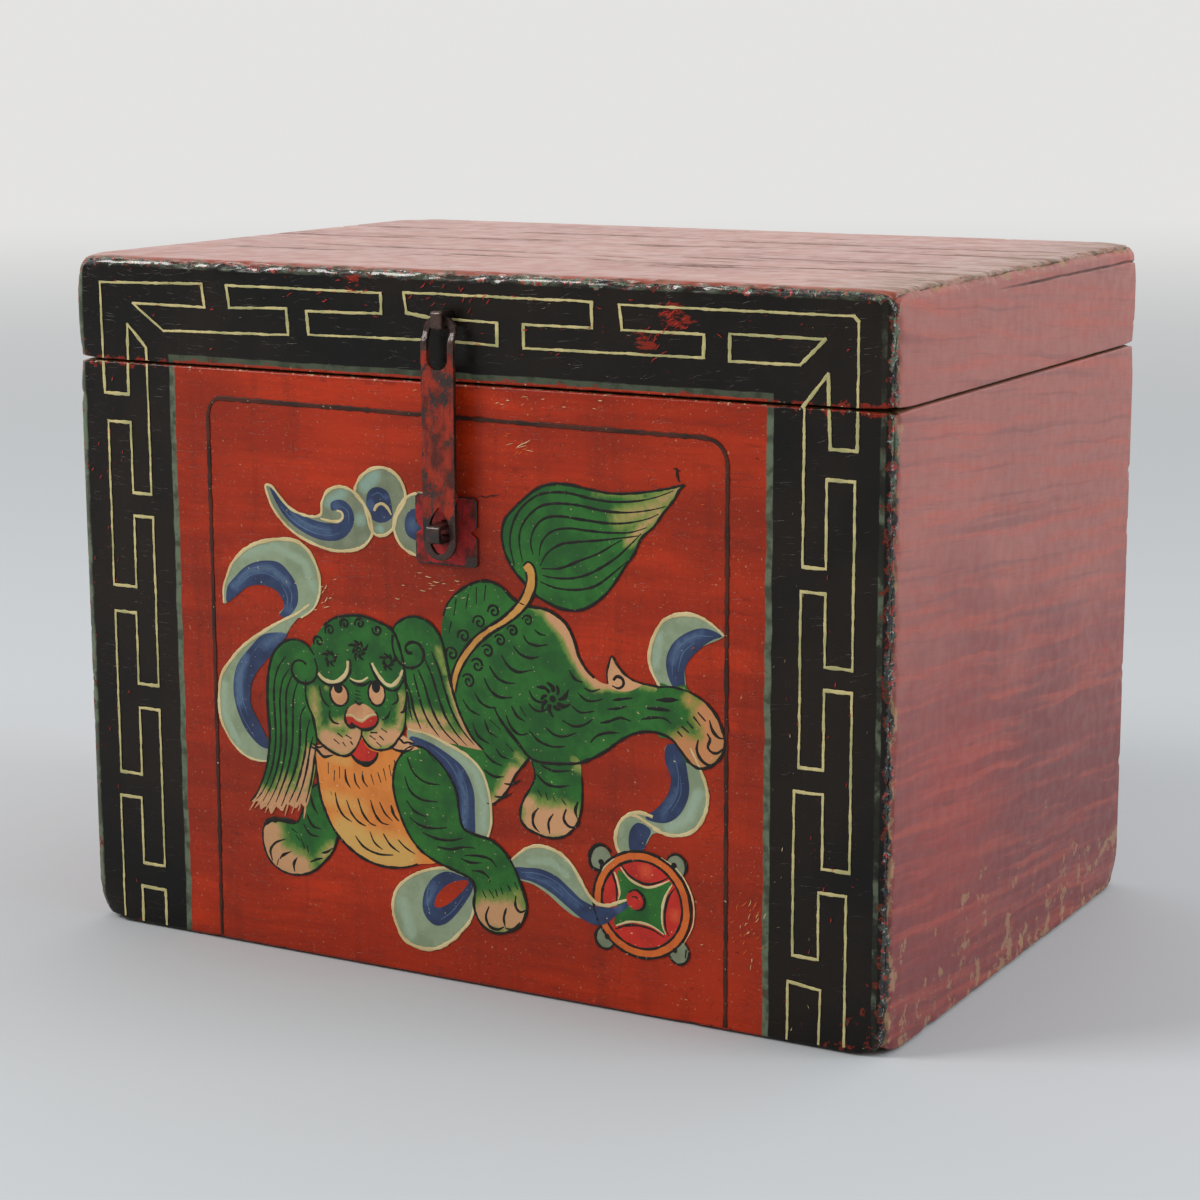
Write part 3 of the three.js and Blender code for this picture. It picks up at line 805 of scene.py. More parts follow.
@dataclass(frozen=True)
class TopPaint(BoardPaint):
    """The lid's top: a worn pinkish red, paled also as painted sheen, with dark grain open along the
    planks.
    """

    # red and pale are partly the paint's real faded pink and partly paled as a painted sheen of reflected
    # light.
    red: Colour = srgb(160, 96, 84)
    pale: Colour = srgb(174, 118, 104)
    grain: Colour = srgb(92, 66, 52)
    green: Colour = srgb(112, 112, 86)
    ember: Colour = srgb(150, 58, 36)
    dull_red: Colour = srgb(136, 70, 60)
    browned: Colour = srgb(132, 100, 76)
    bands: tuple[float, ...] = (0.112, 0.038, -0.046, -0.104)

    def build(self) -> bpy.types.Material:
        """Makes the material.

        Returns:
            The material.
        """
        material, graph, shader = self.started()
        place = graph.place()
        edge = graph.attribute("edge")
        x, y, _ = graph.split(place)
        along = self.effects.grain.placed(graph, Place=place, Run=(0.08, 1.0, 1.0), Warp=0.010)
        shifted = graph.shift(place, (2.0, 5.0, 1.0))
        open_grain = self.effects.grain.placed(graph, Place=shifted, Run=(0.20, 1.5, 1.0), Warp=0.012)
        dust = self.effects.dust.placed(graph, Place=place, Size=6.0)
        # This ground carries the painted sheen as well as the faded paint.
        tone = graph.stain(self.red, self.pale, along["Streak"], 0.36, 0.66)
        tone = graph.layer(tone, self.dull_red, dust["Patches"], 0.25)
        drift = graph.ramp(
            graph.noise(graph.stretch(place, (0.4, 1.0, 1.0)), 10.0, 3.0), 0.3, 0.7, -0.022, 0.022,
        )
        where = graph.plus(y, drift)
        worn = graph.ramp(x, 0.22, 0.30, 0.0, 0.7)
        for band in self.bands:
            worn = graph.most(worn, graph.band(where, band - 0.011, band + 0.011, 0.010))
        slots = graph.times(
            graph.ramp(open_grain["Streak"], 0.49, 0.55), graph.ramp(open_grain["Fibre"], 0.38, 0.50),
        )
        slots = graph.times(slots, graph.plus(graph.times(worn, 0.9), 0.06))
        thin = self.effects.grain.placed(
            graph, Place=graph.shift(place, (7.0, 3.0, 2.0)), Run=(0.2, 3.2, 1.0), Warp=0.010,
        )
        broken = graph.ramp(graph.noise(graph.stretch(place, (1.0, 2.2, 1.0)), 42.0, 4.0, 0.6), 0.46, 0.60)
        spread = graph.times(graph.ramp(x, -0.25, 0.25, 0.5, 1.0), broken)
        slots = graph.most(slots, graph.times(graph.ramp(thin["Streak"], 0.575, 0.63), spread))
        tone = graph.layer(tone, self.grain, slots, 0.88)
        tone = graph.stain(tone, self.browned, x, 0.200, 0.300, 0.50)
        lip = graph.times(
            graph.ramp(y, -0.196, -0.206), graph.ramp(graph.noise(place, 60.0, 4.0), 0.42, 0.60),
        )
        tone = graph.layer(tone, self.ember, lip, 0.75)
        rubs = self.effects.chips.placed(
            graph, Place=graph.stretch(place, (0.5, 1.0, 1.0)), Edge=edge, Size=130.0, Amount=0.05,
        )
        tone = graph.layer(tone, self.green, rubs["Rim"], 0.5)
        tone = graph.layer(tone, self.grain, rubs["Chips"], 0.85)
        front = graph.times(edge, graph.ramp(y, -0.198, -0.207))
        crust = self.effects.crust.placed(graph, Place=place, Edge=front, Amount=0.0)
        tone = CrustTones().over(graph, crust, tone, place)
        rough = graph.wander(place, 70.0, 0.30, 0.42)
        self.coloured(graph, shader, tone, graph.most(rough, graph.times(slots, 0.8)))
        height = graph.plus(graph.times(along["Streak"], 0.35), graph.times(along["Fibre"], 0.2))
        height = graph.minus(height, graph.times(slots, 1.2))
        self.crusted(graph, shader, crust, height, 0.00008)
        return material


@dataclass(frozen=True)
class BareWood(Finish):
    """Unpainted boards, browned with age, with the grain along X or along Y."""

    pale: Colour = srgb(158, 124, 86)
    dark: Colour = srgb(104, 74, 48)
    along: tuple[float, float, float] = (0.10, 1.0, 1.0)
    joints: tuple[tuple[float, ...], ...] = ()
    fibre: Colour = srgb(70, 48, 32)
    dirt: Colour = srgb(92, 72, 54)
    gap: Colour = srgb(30, 22, 16)

    def build(self) -> bpy.types.Material:
        """Makes the material.

        Returns:
            The material.
        """
        material, graph, shader = self.started()
        place = graph.place()
        grain = self.effects.grain.placed(graph, Place=place, Run=self.along, Warp=0.02)
        dust = self.effects.dust.placed(graph, Place=place, Size=11.0)
        tone = graph.stain(self.pale, self.dark, grain["Streak"], 0.32, 0.68)
        tone = graph.stain(tone, self.fibre, grain["Fibre"], 0.52, 0.72, 0.6)
        tone = graph.layer(tone, self.dirt, dust["Patches"], 0.4)
        _, y, z = graph.split(place)
        for front, back, bottom, top in self.joints:
            gap = graph.times(graph.band(y, front, back, 0.0003), graph.band(z, bottom, top, 0.0003))
            tone = graph.mix(gap, tone, self.gap)
        self.coloured(graph, shader, tone, graph.ramp(grain["Streak"], 0.3, 0.7, 0.62, 0.82))
        height = graph.plus(graph.times(grain["Streak"], 0.5), graph.times(grain["Fibre"], 0.6))
        self.bumped(graph, shader, height, 0.0003)
        return material


@dataclass(frozen=True)
class FigurePaint(Finish):
    """A colour of the painting, which thins through a middle tone into a second one under its veils."""

    colour: Colour = (0.5, 0.5, 0.5)
    middle: Colour = (0.5, 0.5, 0.5)
    second: Colour = (0.5, 0.5, 0.5)
    deep: Colour = (0.1, 0.1, 0.1)
    worn: float = 0.7
    under: Colour = srgb(150, 62, 36)
    chalk: Colour = srgb(218, 196, 150)

    def build(self) -> bpy.types.Material:
        """Makes the material.

        Returns:
            The material.
        """
        material, graph, shader = self.started()
        place = graph.place()
        relief = BoardRelief(self.effects).height(graph, place)
        fade = graph.attribute("fade")
        brush = self.effects.grain.placed(graph, Place=place, Run=(0.7, 1.0, 0.5), Warp=0.02)
        dust = self.effects.dust.placed(graph, Place=place, Size=16.0)
        ragged = graph.plus(fade, graph.ramp(brush["Fibre"], 0.3, 0.7, -0.08, 0.08))
        body = graph.stain(self.colour, self.deep, graph.noise(place, 60.0, 3.0), 0.38, 0.66, 0.7)
        body = graph.stain(body, self.deep, brush["Fibre"], 0.50, 0.68, 0.35)
        tone = graph.stain(body, self.middle, ragged, 0.06, 0.46)
        tone = graph.stain(tone, self.second, ragged, 0.38, 0.82)
        tone = graph.layer(tone, self.deep, dust["Patches"], 0.18)
        chips = self.effects.chips.placed(graph, Place=place, Edge=0.0, Size=250.0, Amount=-0.10)
        tone = graph.layer(tone, self.under, chips["Chips"], self.worn)
        flecks = graph.ramp(graph.noise(graph.shift(place, (3.1, 4.2, 1.3)), 400.0, 2.0), 0.685, 0.73)
        tone = graph.layer(tone, self.chalk, flecks, self.worn)
        self.coloured(graph, shader, tone, graph.wander(place, 130.0, 0.30, 0.48))
        self.bumped(graph, shader, relief, 0.00020)
        return material


@dataclass(frozen=True)
class Iron(Finish):
    """Hand-forged iron, with what is left of its red paint where there was any."""

    paint: Colour = srgb(140, 44, 34)
    cover: float = 0.0
    dark: Colour = srgb(36, 30, 28)
    rust: Colour = srgb(78, 50, 40)
    stain: Colour = srgb(80, 28, 18)
    shine: float = 0.27
    pit: Colour = srgb(28, 24, 22)

    def build(self) -> bpy.types.Material:
        """Makes the material.

        Returns:
            The material.
        """
        material, graph, shader = self.started()
        place = graph.place()
        bare = graph.attribute("bare")
        dust = self.effects.dust.placed(graph, Place=place, Size=60.0)
        iron = graph.mix(dust["Patches"], self.dark, self.rust)
        pits = graph.ramp(graph.noise(place, 620.0, 4.0, 0.7), 0.42, 0.62)
        iron = graph.layer(iron, self.pit, pits, 0.45)
        patchy = graph.noise(graph.stretch(place, (1.0, 1.0, 0.55)), 200.0, 6.0, 0.75)
        ragged = graph.plus(bare, graph.ramp(patchy, 0.3, 0.7, -0.5, 0.34))
        covered = graph.times(graph.ramp(ragged, 0.40, 0.56, 1.0, 0.0), self.cover)
        drawn = graph.noise(graph.stretch(place, (1.0, 1.0, 0.16)), 260.0, 5.0, 0.65)
        tint = graph.stain(self.paint, self.stain, graph.noise(place, 90.0, 4.0), 0.40, 0.66)
        tint = graph.stain(tint, self.stain, drawn, 0.48, 0.66, 0.6)
        tone = graph.mix(covered, iron, tint)
        metal = graph.times(graph.minus(1.0, covered), 0.42)
        graph.feed(shader.inputs["Coat Weight"], metal)
        graph.feed(shader.inputs["Metallic"], metal)
        rough = graph.wander(place, 300.0, self.shine, self.shine + 0.22)
        self.coloured(graph, shader, tone, graph.plus(rough, graph.times(covered, 0.12)))
        height = graph.plus(graph.times(covered, 0.35), graph.noise(place, 260.0, 4.0, 0.6))
        self.bumped(graph, shader, graph.minus(height, graph.times(pits, 0.3)), 0.0003)
        return material


class Palette:
    """Every material of the trunk, built once."""

    def __init__(self) -> None:
        """Builds the shared effects, then the materials."""
        effects = Effects()
        self.front = FrontPaint("front_paint", effects, 0.22).build()
        self.side = SidePaint("side_paint", effects).build()
        self.back = SidePaint("back_paint", effects, along_x=True).build()
        self.top = TopPaint("top_paint", effects).build()
        self.wood_x = BareWood(
            "bare_wood_x", effects, 0.3,
            joints=(
                (-0.2, -0.1, 0.3215, 0.3223), (0.1, 0.2, 0.2046, 0.2054), (-0.0704, -0.0696, 0.42, 0.46),
                (0.0696, 0.0704, 0.42, 0.46),
            ),
        ).build()
        self.wood_y = BareWood(
            "bare_wood_y", effects, 0.3, along=(1.0, 0.10, 1.0), joints=((-0.2, 0.2, 0.2736, 0.2744),),
        ).build()
        self.forged = Iron("forged_iron", effects).build()
        self.strap = Iron("painted_strap", effects, 0.3, paint=srgb(166, 46, 22), cover=1.0).build()
        self.plate = Iron("painted_plate", effects, 0.3, paint=srgb(172, 32, 34), cover=1.0).build()

        def figure(name: str, *tones: Colour, worn: float = 0.7) -> bpy.types.Material:
            """Makes one colour of the painting from its own, its middle, its second and its deep tone."""
            return FigurePaint(name, effects, 0.28, *tones, worn=worn).build()

        tan, straw = srgb(214, 160, 116), srgb(128, 148, 70)
        green, moss = srgb(48, 114, 44), srgb(30, 78, 36)
        self.green = figure("paint_green", green, straw, tan, moss)
        self.hot_paw = figure("paint_paw", green, srgb(146, 142, 66), srgb(212, 142, 92), moss)
        self.tan = figure("paint_tan", srgb(218, 164, 118), tan, tan, srgb(192, 134, 94))
        self.stem = figure("paint_stem", srgb(214, 156, 80), tan, tan, srgb(188, 130, 62))
        self.ochre = figure(
            "paint_ochre", srgb(226, 138, 62), srgb(222, 152, 76), srgb(214, 168, 92), srgb(206, 118, 50),
        )
        self.sea = figure(
            "paint_sea_green", srgb(152, 168, 138), srgb(156, 176, 150), srgb(164, 186, 164),
            srgb(126, 142, 112),
        )
        self.blue = figure(
            "paint_blue", srgb(54, 70, 106), srgb(68, 88, 124), srgb(88, 112, 140), srgb(38, 48, 76),
        )
        self.pale_blue = figure(
            "paint_pale_blue", srgb(92, 116, 146), srgb(96, 122, 160), srgb(96, 122, 160),
            srgb(60, 82, 122), worn=0.4,
        )
        self.cream = figure(
            "paint_cream", srgb(224, 206, 156), srgb(222, 206, 156), srgb(222, 206, 156),
            srgb(196, 172, 120), worn=0.5,
        )
        self.fret = figure(
            "paint_fret", srgb(216, 200, 142), srgb(216, 200, 142), srgb(216, 200, 142),
            srgb(156, 158, 108), worn=0.6,
        )
        self.faint = figure(
            "paint_faint_line", srgb(44, 27, 20), srgb(60, 32, 22), srgb(60, 32, 22), srgb(90, 40, 24),
        )
        self.line = figure(
            "paint_dark_line", srgb(24, 23, 19), srgb(25, 24, 20), srgb(25, 24, 20), srgb(34, 32, 24),
            worn=0.25,
        )
        self.orange = figure(
            "paint_orange", srgb(220, 110, 44), srgb(218, 112, 50), srgb(218, 112, 50), srgb(194, 86, 36),
        )
        self.scarlet = figure(
            "paint_scarlet", srgb(204, 48, 34), srgb(216, 76, 46), srgb(226, 100, 62), srgb(172, 36, 28),
        )
        self.grey_green = figure(
            "paint_grey_green", srgb(138, 146, 120), srgb(138, 162, 142), srgb(146, 176, 162),
            srgb(106, 116, 92),
        )


@dataclass(frozen=True)
class Stroke:
    """One pull of a brush."""

    points: tuple[Point, ...]
    width: float = 1.5
    start: float = 0.45
    end: float = 0.35

    def radius(self, share: float) -> float:
        """Gives half the stroke's width at a share of its length, in metres.

        Args:
            share: Where on the stroke, from 0 to 1.

        Returns:
            The radius.
        """
        rise = min(1.0, self.start + (1 - self.start) * share / 0.25)
        fall = min(1.0, self.end + (1 - self.end) * (1 - share) / 0.35)
        return self.width * MM * 0.5 * min(rise, fall)


@dataclass(frozen=True)
class Veil:
    """A place where a colour thins into the second one, round a point or along a run of points."""

    run: tuple[Point, ...]
    reach: float
    strength: float = 1.0

    def at(self, point: Point) -> float:
        """Gives how far the second colour shows at a point, from 0 to the veil's strength.

        Args:
            point: The point.

        Returns:
            The share of the second colour.
        """
        here = Vector(point)
        away = (here - Vector(self.run[0])).length
        for a, b in zip(self.run, self.run[1:]):
            start, pull = Vector(a), Vector(b) - Vector(a)
            share = max(0.0, min(1.0, (here - start).dot(pull) / pull.length_squared))
            away = min(away, (here - start - pull * share).length)
        near = 1 - min(1.0, away / self.reach)
        return self.strength * near * near * (3 - 2 * near)


@dataclass(frozen=True)
class Patch:
    """A filled shape, with veils where its colour thins into the second one."""

    outline: tuple[Point, ...]
    veils: tuple[Veil, ...] = ()

    def fade(self, point: Point) -> float:
        """Gives how far the second colour has taken over at a point."""
        return max((veil.at(point) for veil in self.veils), default=0.0)

    def smoothed(self, step: float) -> list[Point]:
        """Rounds the outline through its points.

        Args:
            step: The distance between the new points, in millimetres.

        Returns:
            The points of the closed, smooth outline.
        """
        given = [Vector(p) for p in self.outline]
        count = len(given)
        made = []
        for i in range(count):
            a, b, c, d = (given[(i + k) % count] for k in (-1, 0, 1, 2))
            steps = max(1, round((c - b).length / step))
            for k in range(steps):
                t = k / steps
                bend = 2 * b + (c - a) * t + (
                    2 * a - 5 * b + 4 * c - d
                ) * t**2 + (3 * b - a - 3 * c + d) * t**3
                made.append(tuple(bend * 0.5))
        return made


def circle(x: float, z: float, radius: float, squeeze: float = 1.0, count: int = 14) -> tuple[Point, ...]:
    """Gives the points of a round or oval shape."""
    turns = (math.tau * k / count for k in range(count))
    return tuple((x + radius * squeeze * math.cos(t), z + radius * math.sin(t)) for t in turns)


def spiral(x: float, z: float, radius: float, start: float, turns: float) -> tuple[Point, ...]:
    """Gives the points of a curl that winds inwards.

    Args:
        x: The middle.
        z: The middle.
        radius: The outer radius.
        start: The angle that it starts from, in degrees.
        turns: How often it goes round; less than 0 goes clockwise.

    Returns:
        The points.
    """
    count = max(8, round(abs(turns) * 12))
    made = []
    for k in range(count + 1):
        share = k / count
        angle = math.radians(start) + math.tau * turns * share
        reach = radius * (1 - 0.86 * share)
        made.append((x + reach * math.cos(angle), z + reach * math.sin(angle)))
    return tuple(made)


def inside(point: Point, outline: Sequence[Point]) -> bool:
    """Tells whether a point lies inside a closed outline.

    Args:
        point: The point.
        outline: The closed outline.

    Returns:
        Whether it lies inside.
    """
    x, z = point
    found = False
    for (ax, az), (bx, bz) in zip(outline, outline[1:] + outline[:1]):
        if (az > z) != (bz > z) and x < (bx - ax) * (z - az) / (bz - az) + ax:
            found = not found
    return found


def outside(run: Sequence[Point], centre: Point, reach: float) -> tuple[Point, ...]:
    """Keeps the part of a closed run that lies beyond a distance from a point.

    Args:
        run: The closed run.
        centre: The point.
        reach: The distance.

    Returns:
        The part of the run, from one end to the other.
    """
    far = [math.dist(point, centre) > reach for point in run]
    start = next((k for k in range(len(run)) if far[k] and not far[k - 1]), 0)
    return tuple(run[k - len(run)] for k in range(start, start + len(run)) if far[k - len(run)])


class ShapeTree:
    """A Geometry Nodes tree with named inputs, which ends as plain geometry with a material."""

    def __init__(self, name: str, inputs: dict[str, tuple[str, object]]) -> None:
        """Makes the tree and its sockets.

        Args:
            name: The tree's name.
            inputs: The kind of socket and the default of each input of its own.
        """
        self.tree = bpy.data.node_groups.new(name, "GeometryNodeTree")
        self.identifiers = {}
        sockets = {"Geometry": ("Geometry", None)} | inputs | {"Material": ("Material", None)}
        for label, (kind, default) in sockets.items():
            made = self.tree.interface.new_socket(label, in_out="INPUT", socket_type=f"NodeSocket{kind}")
            if default is not None:
                made.default_value = default
            self.identifiers[label] = made.identifier
        self.tree.interface.new_socket("Geometry", in_out="OUTPUT", socket_type="NodeSocketGeometry")
        self.graph = Graph(self.tree)
        self.given = self.graph.node("NodeGroupInput").outputs

    def step(self, kind: str, inputs: dict | None = None, **settings: object) -> Socket:
        """Adds a node and gives its first output."""
        return self.graph.node(kind, inputs, **settings).outputs[0]

    def close(self, mesh: Socket) -> None:
        """Makes the result plain geometry with the material, and hands it out.

        Args:
            mesh: The geometry.
        """
        mesh = self.step("GeometryNodeRealizeInstances", {"Geometry": mesh})
        mesh = self.step("GeometryNodeSetMaterial", {"Geometry": mesh, "Material": self.given["Material"]})
        self.graph.feed(self.graph.node("NodeGroupOutput").inputs[0], mesh)

    def run(self, source: bpy.types.Object, **values: object) -> bpy.types.Object:
        """Runs the tree on an object and keeps its result as a plain mesh.

        Args:
            source: The object, which becomes the result.
            **values: The inputs, by their names.

        Returns:
            The object.
        """
        modifier = source.modifiers.new("nodes", "NODES")
        modifier.node_group = self.tree
        for label, value in values.items():
            modifier[self.identifiers[label]] = value
        result = evaluated(source)
        source.modifiers.remove(modifier)
        old = source.data
        source.data = result
        result.name = source.name
        bpy.data.meshes.remove(old)
        return source


class BrushTree(ShapeTree):
    """The tree that turns paths into brush strokes."""

    def __init__(self) -> None:
        """Builds the tree once."""
        super().__init__(
            "brush_strokes",
            {"Step": ("Float", 0.0012), "Flatness": ("Float", 0.10), "Wobble": ("Float", 0.0005)},
        )
        graph, given = self.graph, self.given
        curve = self.step("GeometryNodeMeshToCurve", {"Mesh": given["Geometry"]})
        curve = self.step("GeometryNodeCurveSplineType", {"Curve": curve}, spline_type="CATMULL_ROM")
        curve = self.step(
            "GeometryNodeResampleCurve", {"Curve": curve, "Length": given["Step"]}, mode="LENGTH",
        )
        here = self.step("GeometryNodeInputPosition")
        centred = graph.shift(graph.drift(here, 75.0, 2.0), (-0.5, -0.5, -0.5))
        offset = graph.node(
            "ShaderNodeVectorMath", {0: centred, "Scale": given["Wobble"]}, operation="SCALE",
        ).outputs[0]
        curve = self.step(
            "GeometryNodeSetPosition",
            {"Geometry": curve, "Offset": graph.stretch(offset, (1.0, 0.0, 1.0))},
        )
        brush = self.step("GeometryNodeInputNamedAttribute", {"Name": "brush"}, data_type="FLOAT")
        press = graph.ramp(graph.noise(here, 240.0, 3.0), 0.3, 0.7, 0.72, 1.22)
        radius = graph.times(brush, press)
        curve = self.step(
            "GeometryNodeSetCurveNormal", {"Curve": curve, "Normal": (0.0, -1.0, 0.0)}, mode="FREE",
        )
        profile = self.step("GeometryNodeCurvePrimitiveCircle", {"Resolution": 8, "Radius": 1.0})
        scale = graph.node("ShaderNodeCombineXYZ", {0: given["Flatness"], 1: 1.0, 2: 1.0}).outputs[0]
        profile = self.step("GeometryNodeTransform", {"Geometry": profile, "Scale": scale})
        mesh = self.step(
            "GeometryNodeCurveToMesh",
            {"Curve": curve, "Profile Curve": profile, "Scale": radius, "Fill Caps": True},
        )
        mesh = self.step("GeometryNodeSetShadeSmooth", {"Geometry": mesh})
        self.close(mesh)

    def paint(
        self, name: str, strokes: Sequence[Stroke], level: float, material: bpy.types.Material,
        wobble: float = 0.0005,
    ) -> bpy.types.Object:
        """Paints strokes on the front.

        Args:
            name: The piece's name.
            strokes: The strokes.
            level: How many coats lie under them.
            material: Their paint.
            wobble: How far the hand strays, in metres.

        Returns:
            The piece, as a plain mesh.
        """
        source = bmesh.new()
        layer = source.verts.layers.float.new("brush")
        for stroke in strokes:
            lengths = [0.0]
            for a, b in zip(stroke.points, stroke.points[1:]):
                lengths.append(lengths[-1] + math.dist(a, b))
            previous = None
            for point, length in zip(stroke.points, lengths):
                vert = source.verts.new(on_front(point, level))
                vert[layer] = stroke.radius(length / max(lengths[-1], 1e-6))
                if previous is not None:
                    source.edges.new((previous, vert))
                previous = vert
        return self.run(built(name, source), Material=material, Wobble=wobble)


class PaintFiller:
    """Fills patches of paint as thin closed coats on the front."""

    STACK = 0.12
    SUNK = -8

    def __init__(self, grid: float = 3.5, step: float = 1.2) -> None:
        """Keeps the fineness of the patches.

        Args:
            grid: The distance between points inside a patch, in millimetres.
            step: The distance between points of its outline, in millimetres.
        """
        self.grid = grid
        self.step = step

    def fill(
        self, name: str, patches: Sequence[Patch], level: float, material: bpy.types.Material,
    ) -> bpy.types.Object:
        """Fills patches of one colour.

        Args:
            name: The piece's name.
            patches: The patches.
            level: How many coats lie under them.
            material: Their paint.

        Returns:
            The piece.
        """
        made = bmesh.new()
        fade = made.verts.layers.float.new("fade")
        for order, patch in enumerate(patches):
            self._coat(made, fade, patch, level + self.STACK * order)
        piece = built(name, made)
        piece.data.materials.append(material)
        return piece

    def _coat(self, made: bmesh.types.BMesh, fade: object, patch: Patch, level: float) -> None:
        """Adds one patch as a closed coat.

        Args:
            made: The mesh that it goes into.
            fade: The layer that holds the fade.
            patch: The patch.
            level: How many coats lie under it.
        """
        outline = patch.smoothed(self.step)
        points = list(outline) + self._middle(outline)
        rim = [(i, (i + 1) % len(outline)) for i in range(len(outline))]
        found = delaunay_2d_cdt([Vector(p) for p in points], rim, [list(range(len(outline)))], 1, 1e-5)
        flat, faces = found[0], found[2]
        front, back = [], []
        for spot in flat:
            value = patch.fade(tuple(spot))
            for row, depth in ((front, level + 1), (back, self.SUNK)):
                vert = made.verts.new(on_front(tuple(spot), depth))
                vert[fade] = value
                row.append(vert)
        sides = {}
        for face in faces:
            turn = sum(
                flat[a][0] * flat[b][1] - flat[b][0] * flat[a][1]
                for a, b in zip(face, face[1:] + face[:1])
            )
            ring = face if turn > 0 else face[::-1]
            made.faces.new([front[i] for i in ring])
            made.faces.new([back[i] for i in reversed(ring)])
            for a, b in zip(ring, ring[1:] + ring[:1]):
                if (b, a) in sides:
                    del sides[(b, a)]
                else:
                    sides[(a, b)] = True
        for a, b in sides:
            made.faces.new([front[b], front[a], back[a], back[b]])

    def _middle(self, outline: list[Point]) -> list[Point]:
        """Gives the points inside an outline, on a grid that leaves its edge free.

        Args:
            outline: The outline.

        Returns:
            The points.
        """
        xs, zs = [p[0] for p in outline], [p[1] for p in outline]
        made = []
        row = 0
        z = min(zs) + self.grid * 0.5
        while z < max(zs):
            x = min(xs) + self.grid * (0.5 if row % 2 else 0.0)
            while x < max(xs):
                near = min((p[0] - x) ** 2 + (p[1] - z) ** 2 for p in outline)
                if near > (self.grid * 0.55) ** 2 and inside((x, z), outline):
                    made.append((x, z))
                x += self.grid
            z += self.grid * 0.87
            row += 1
        return made


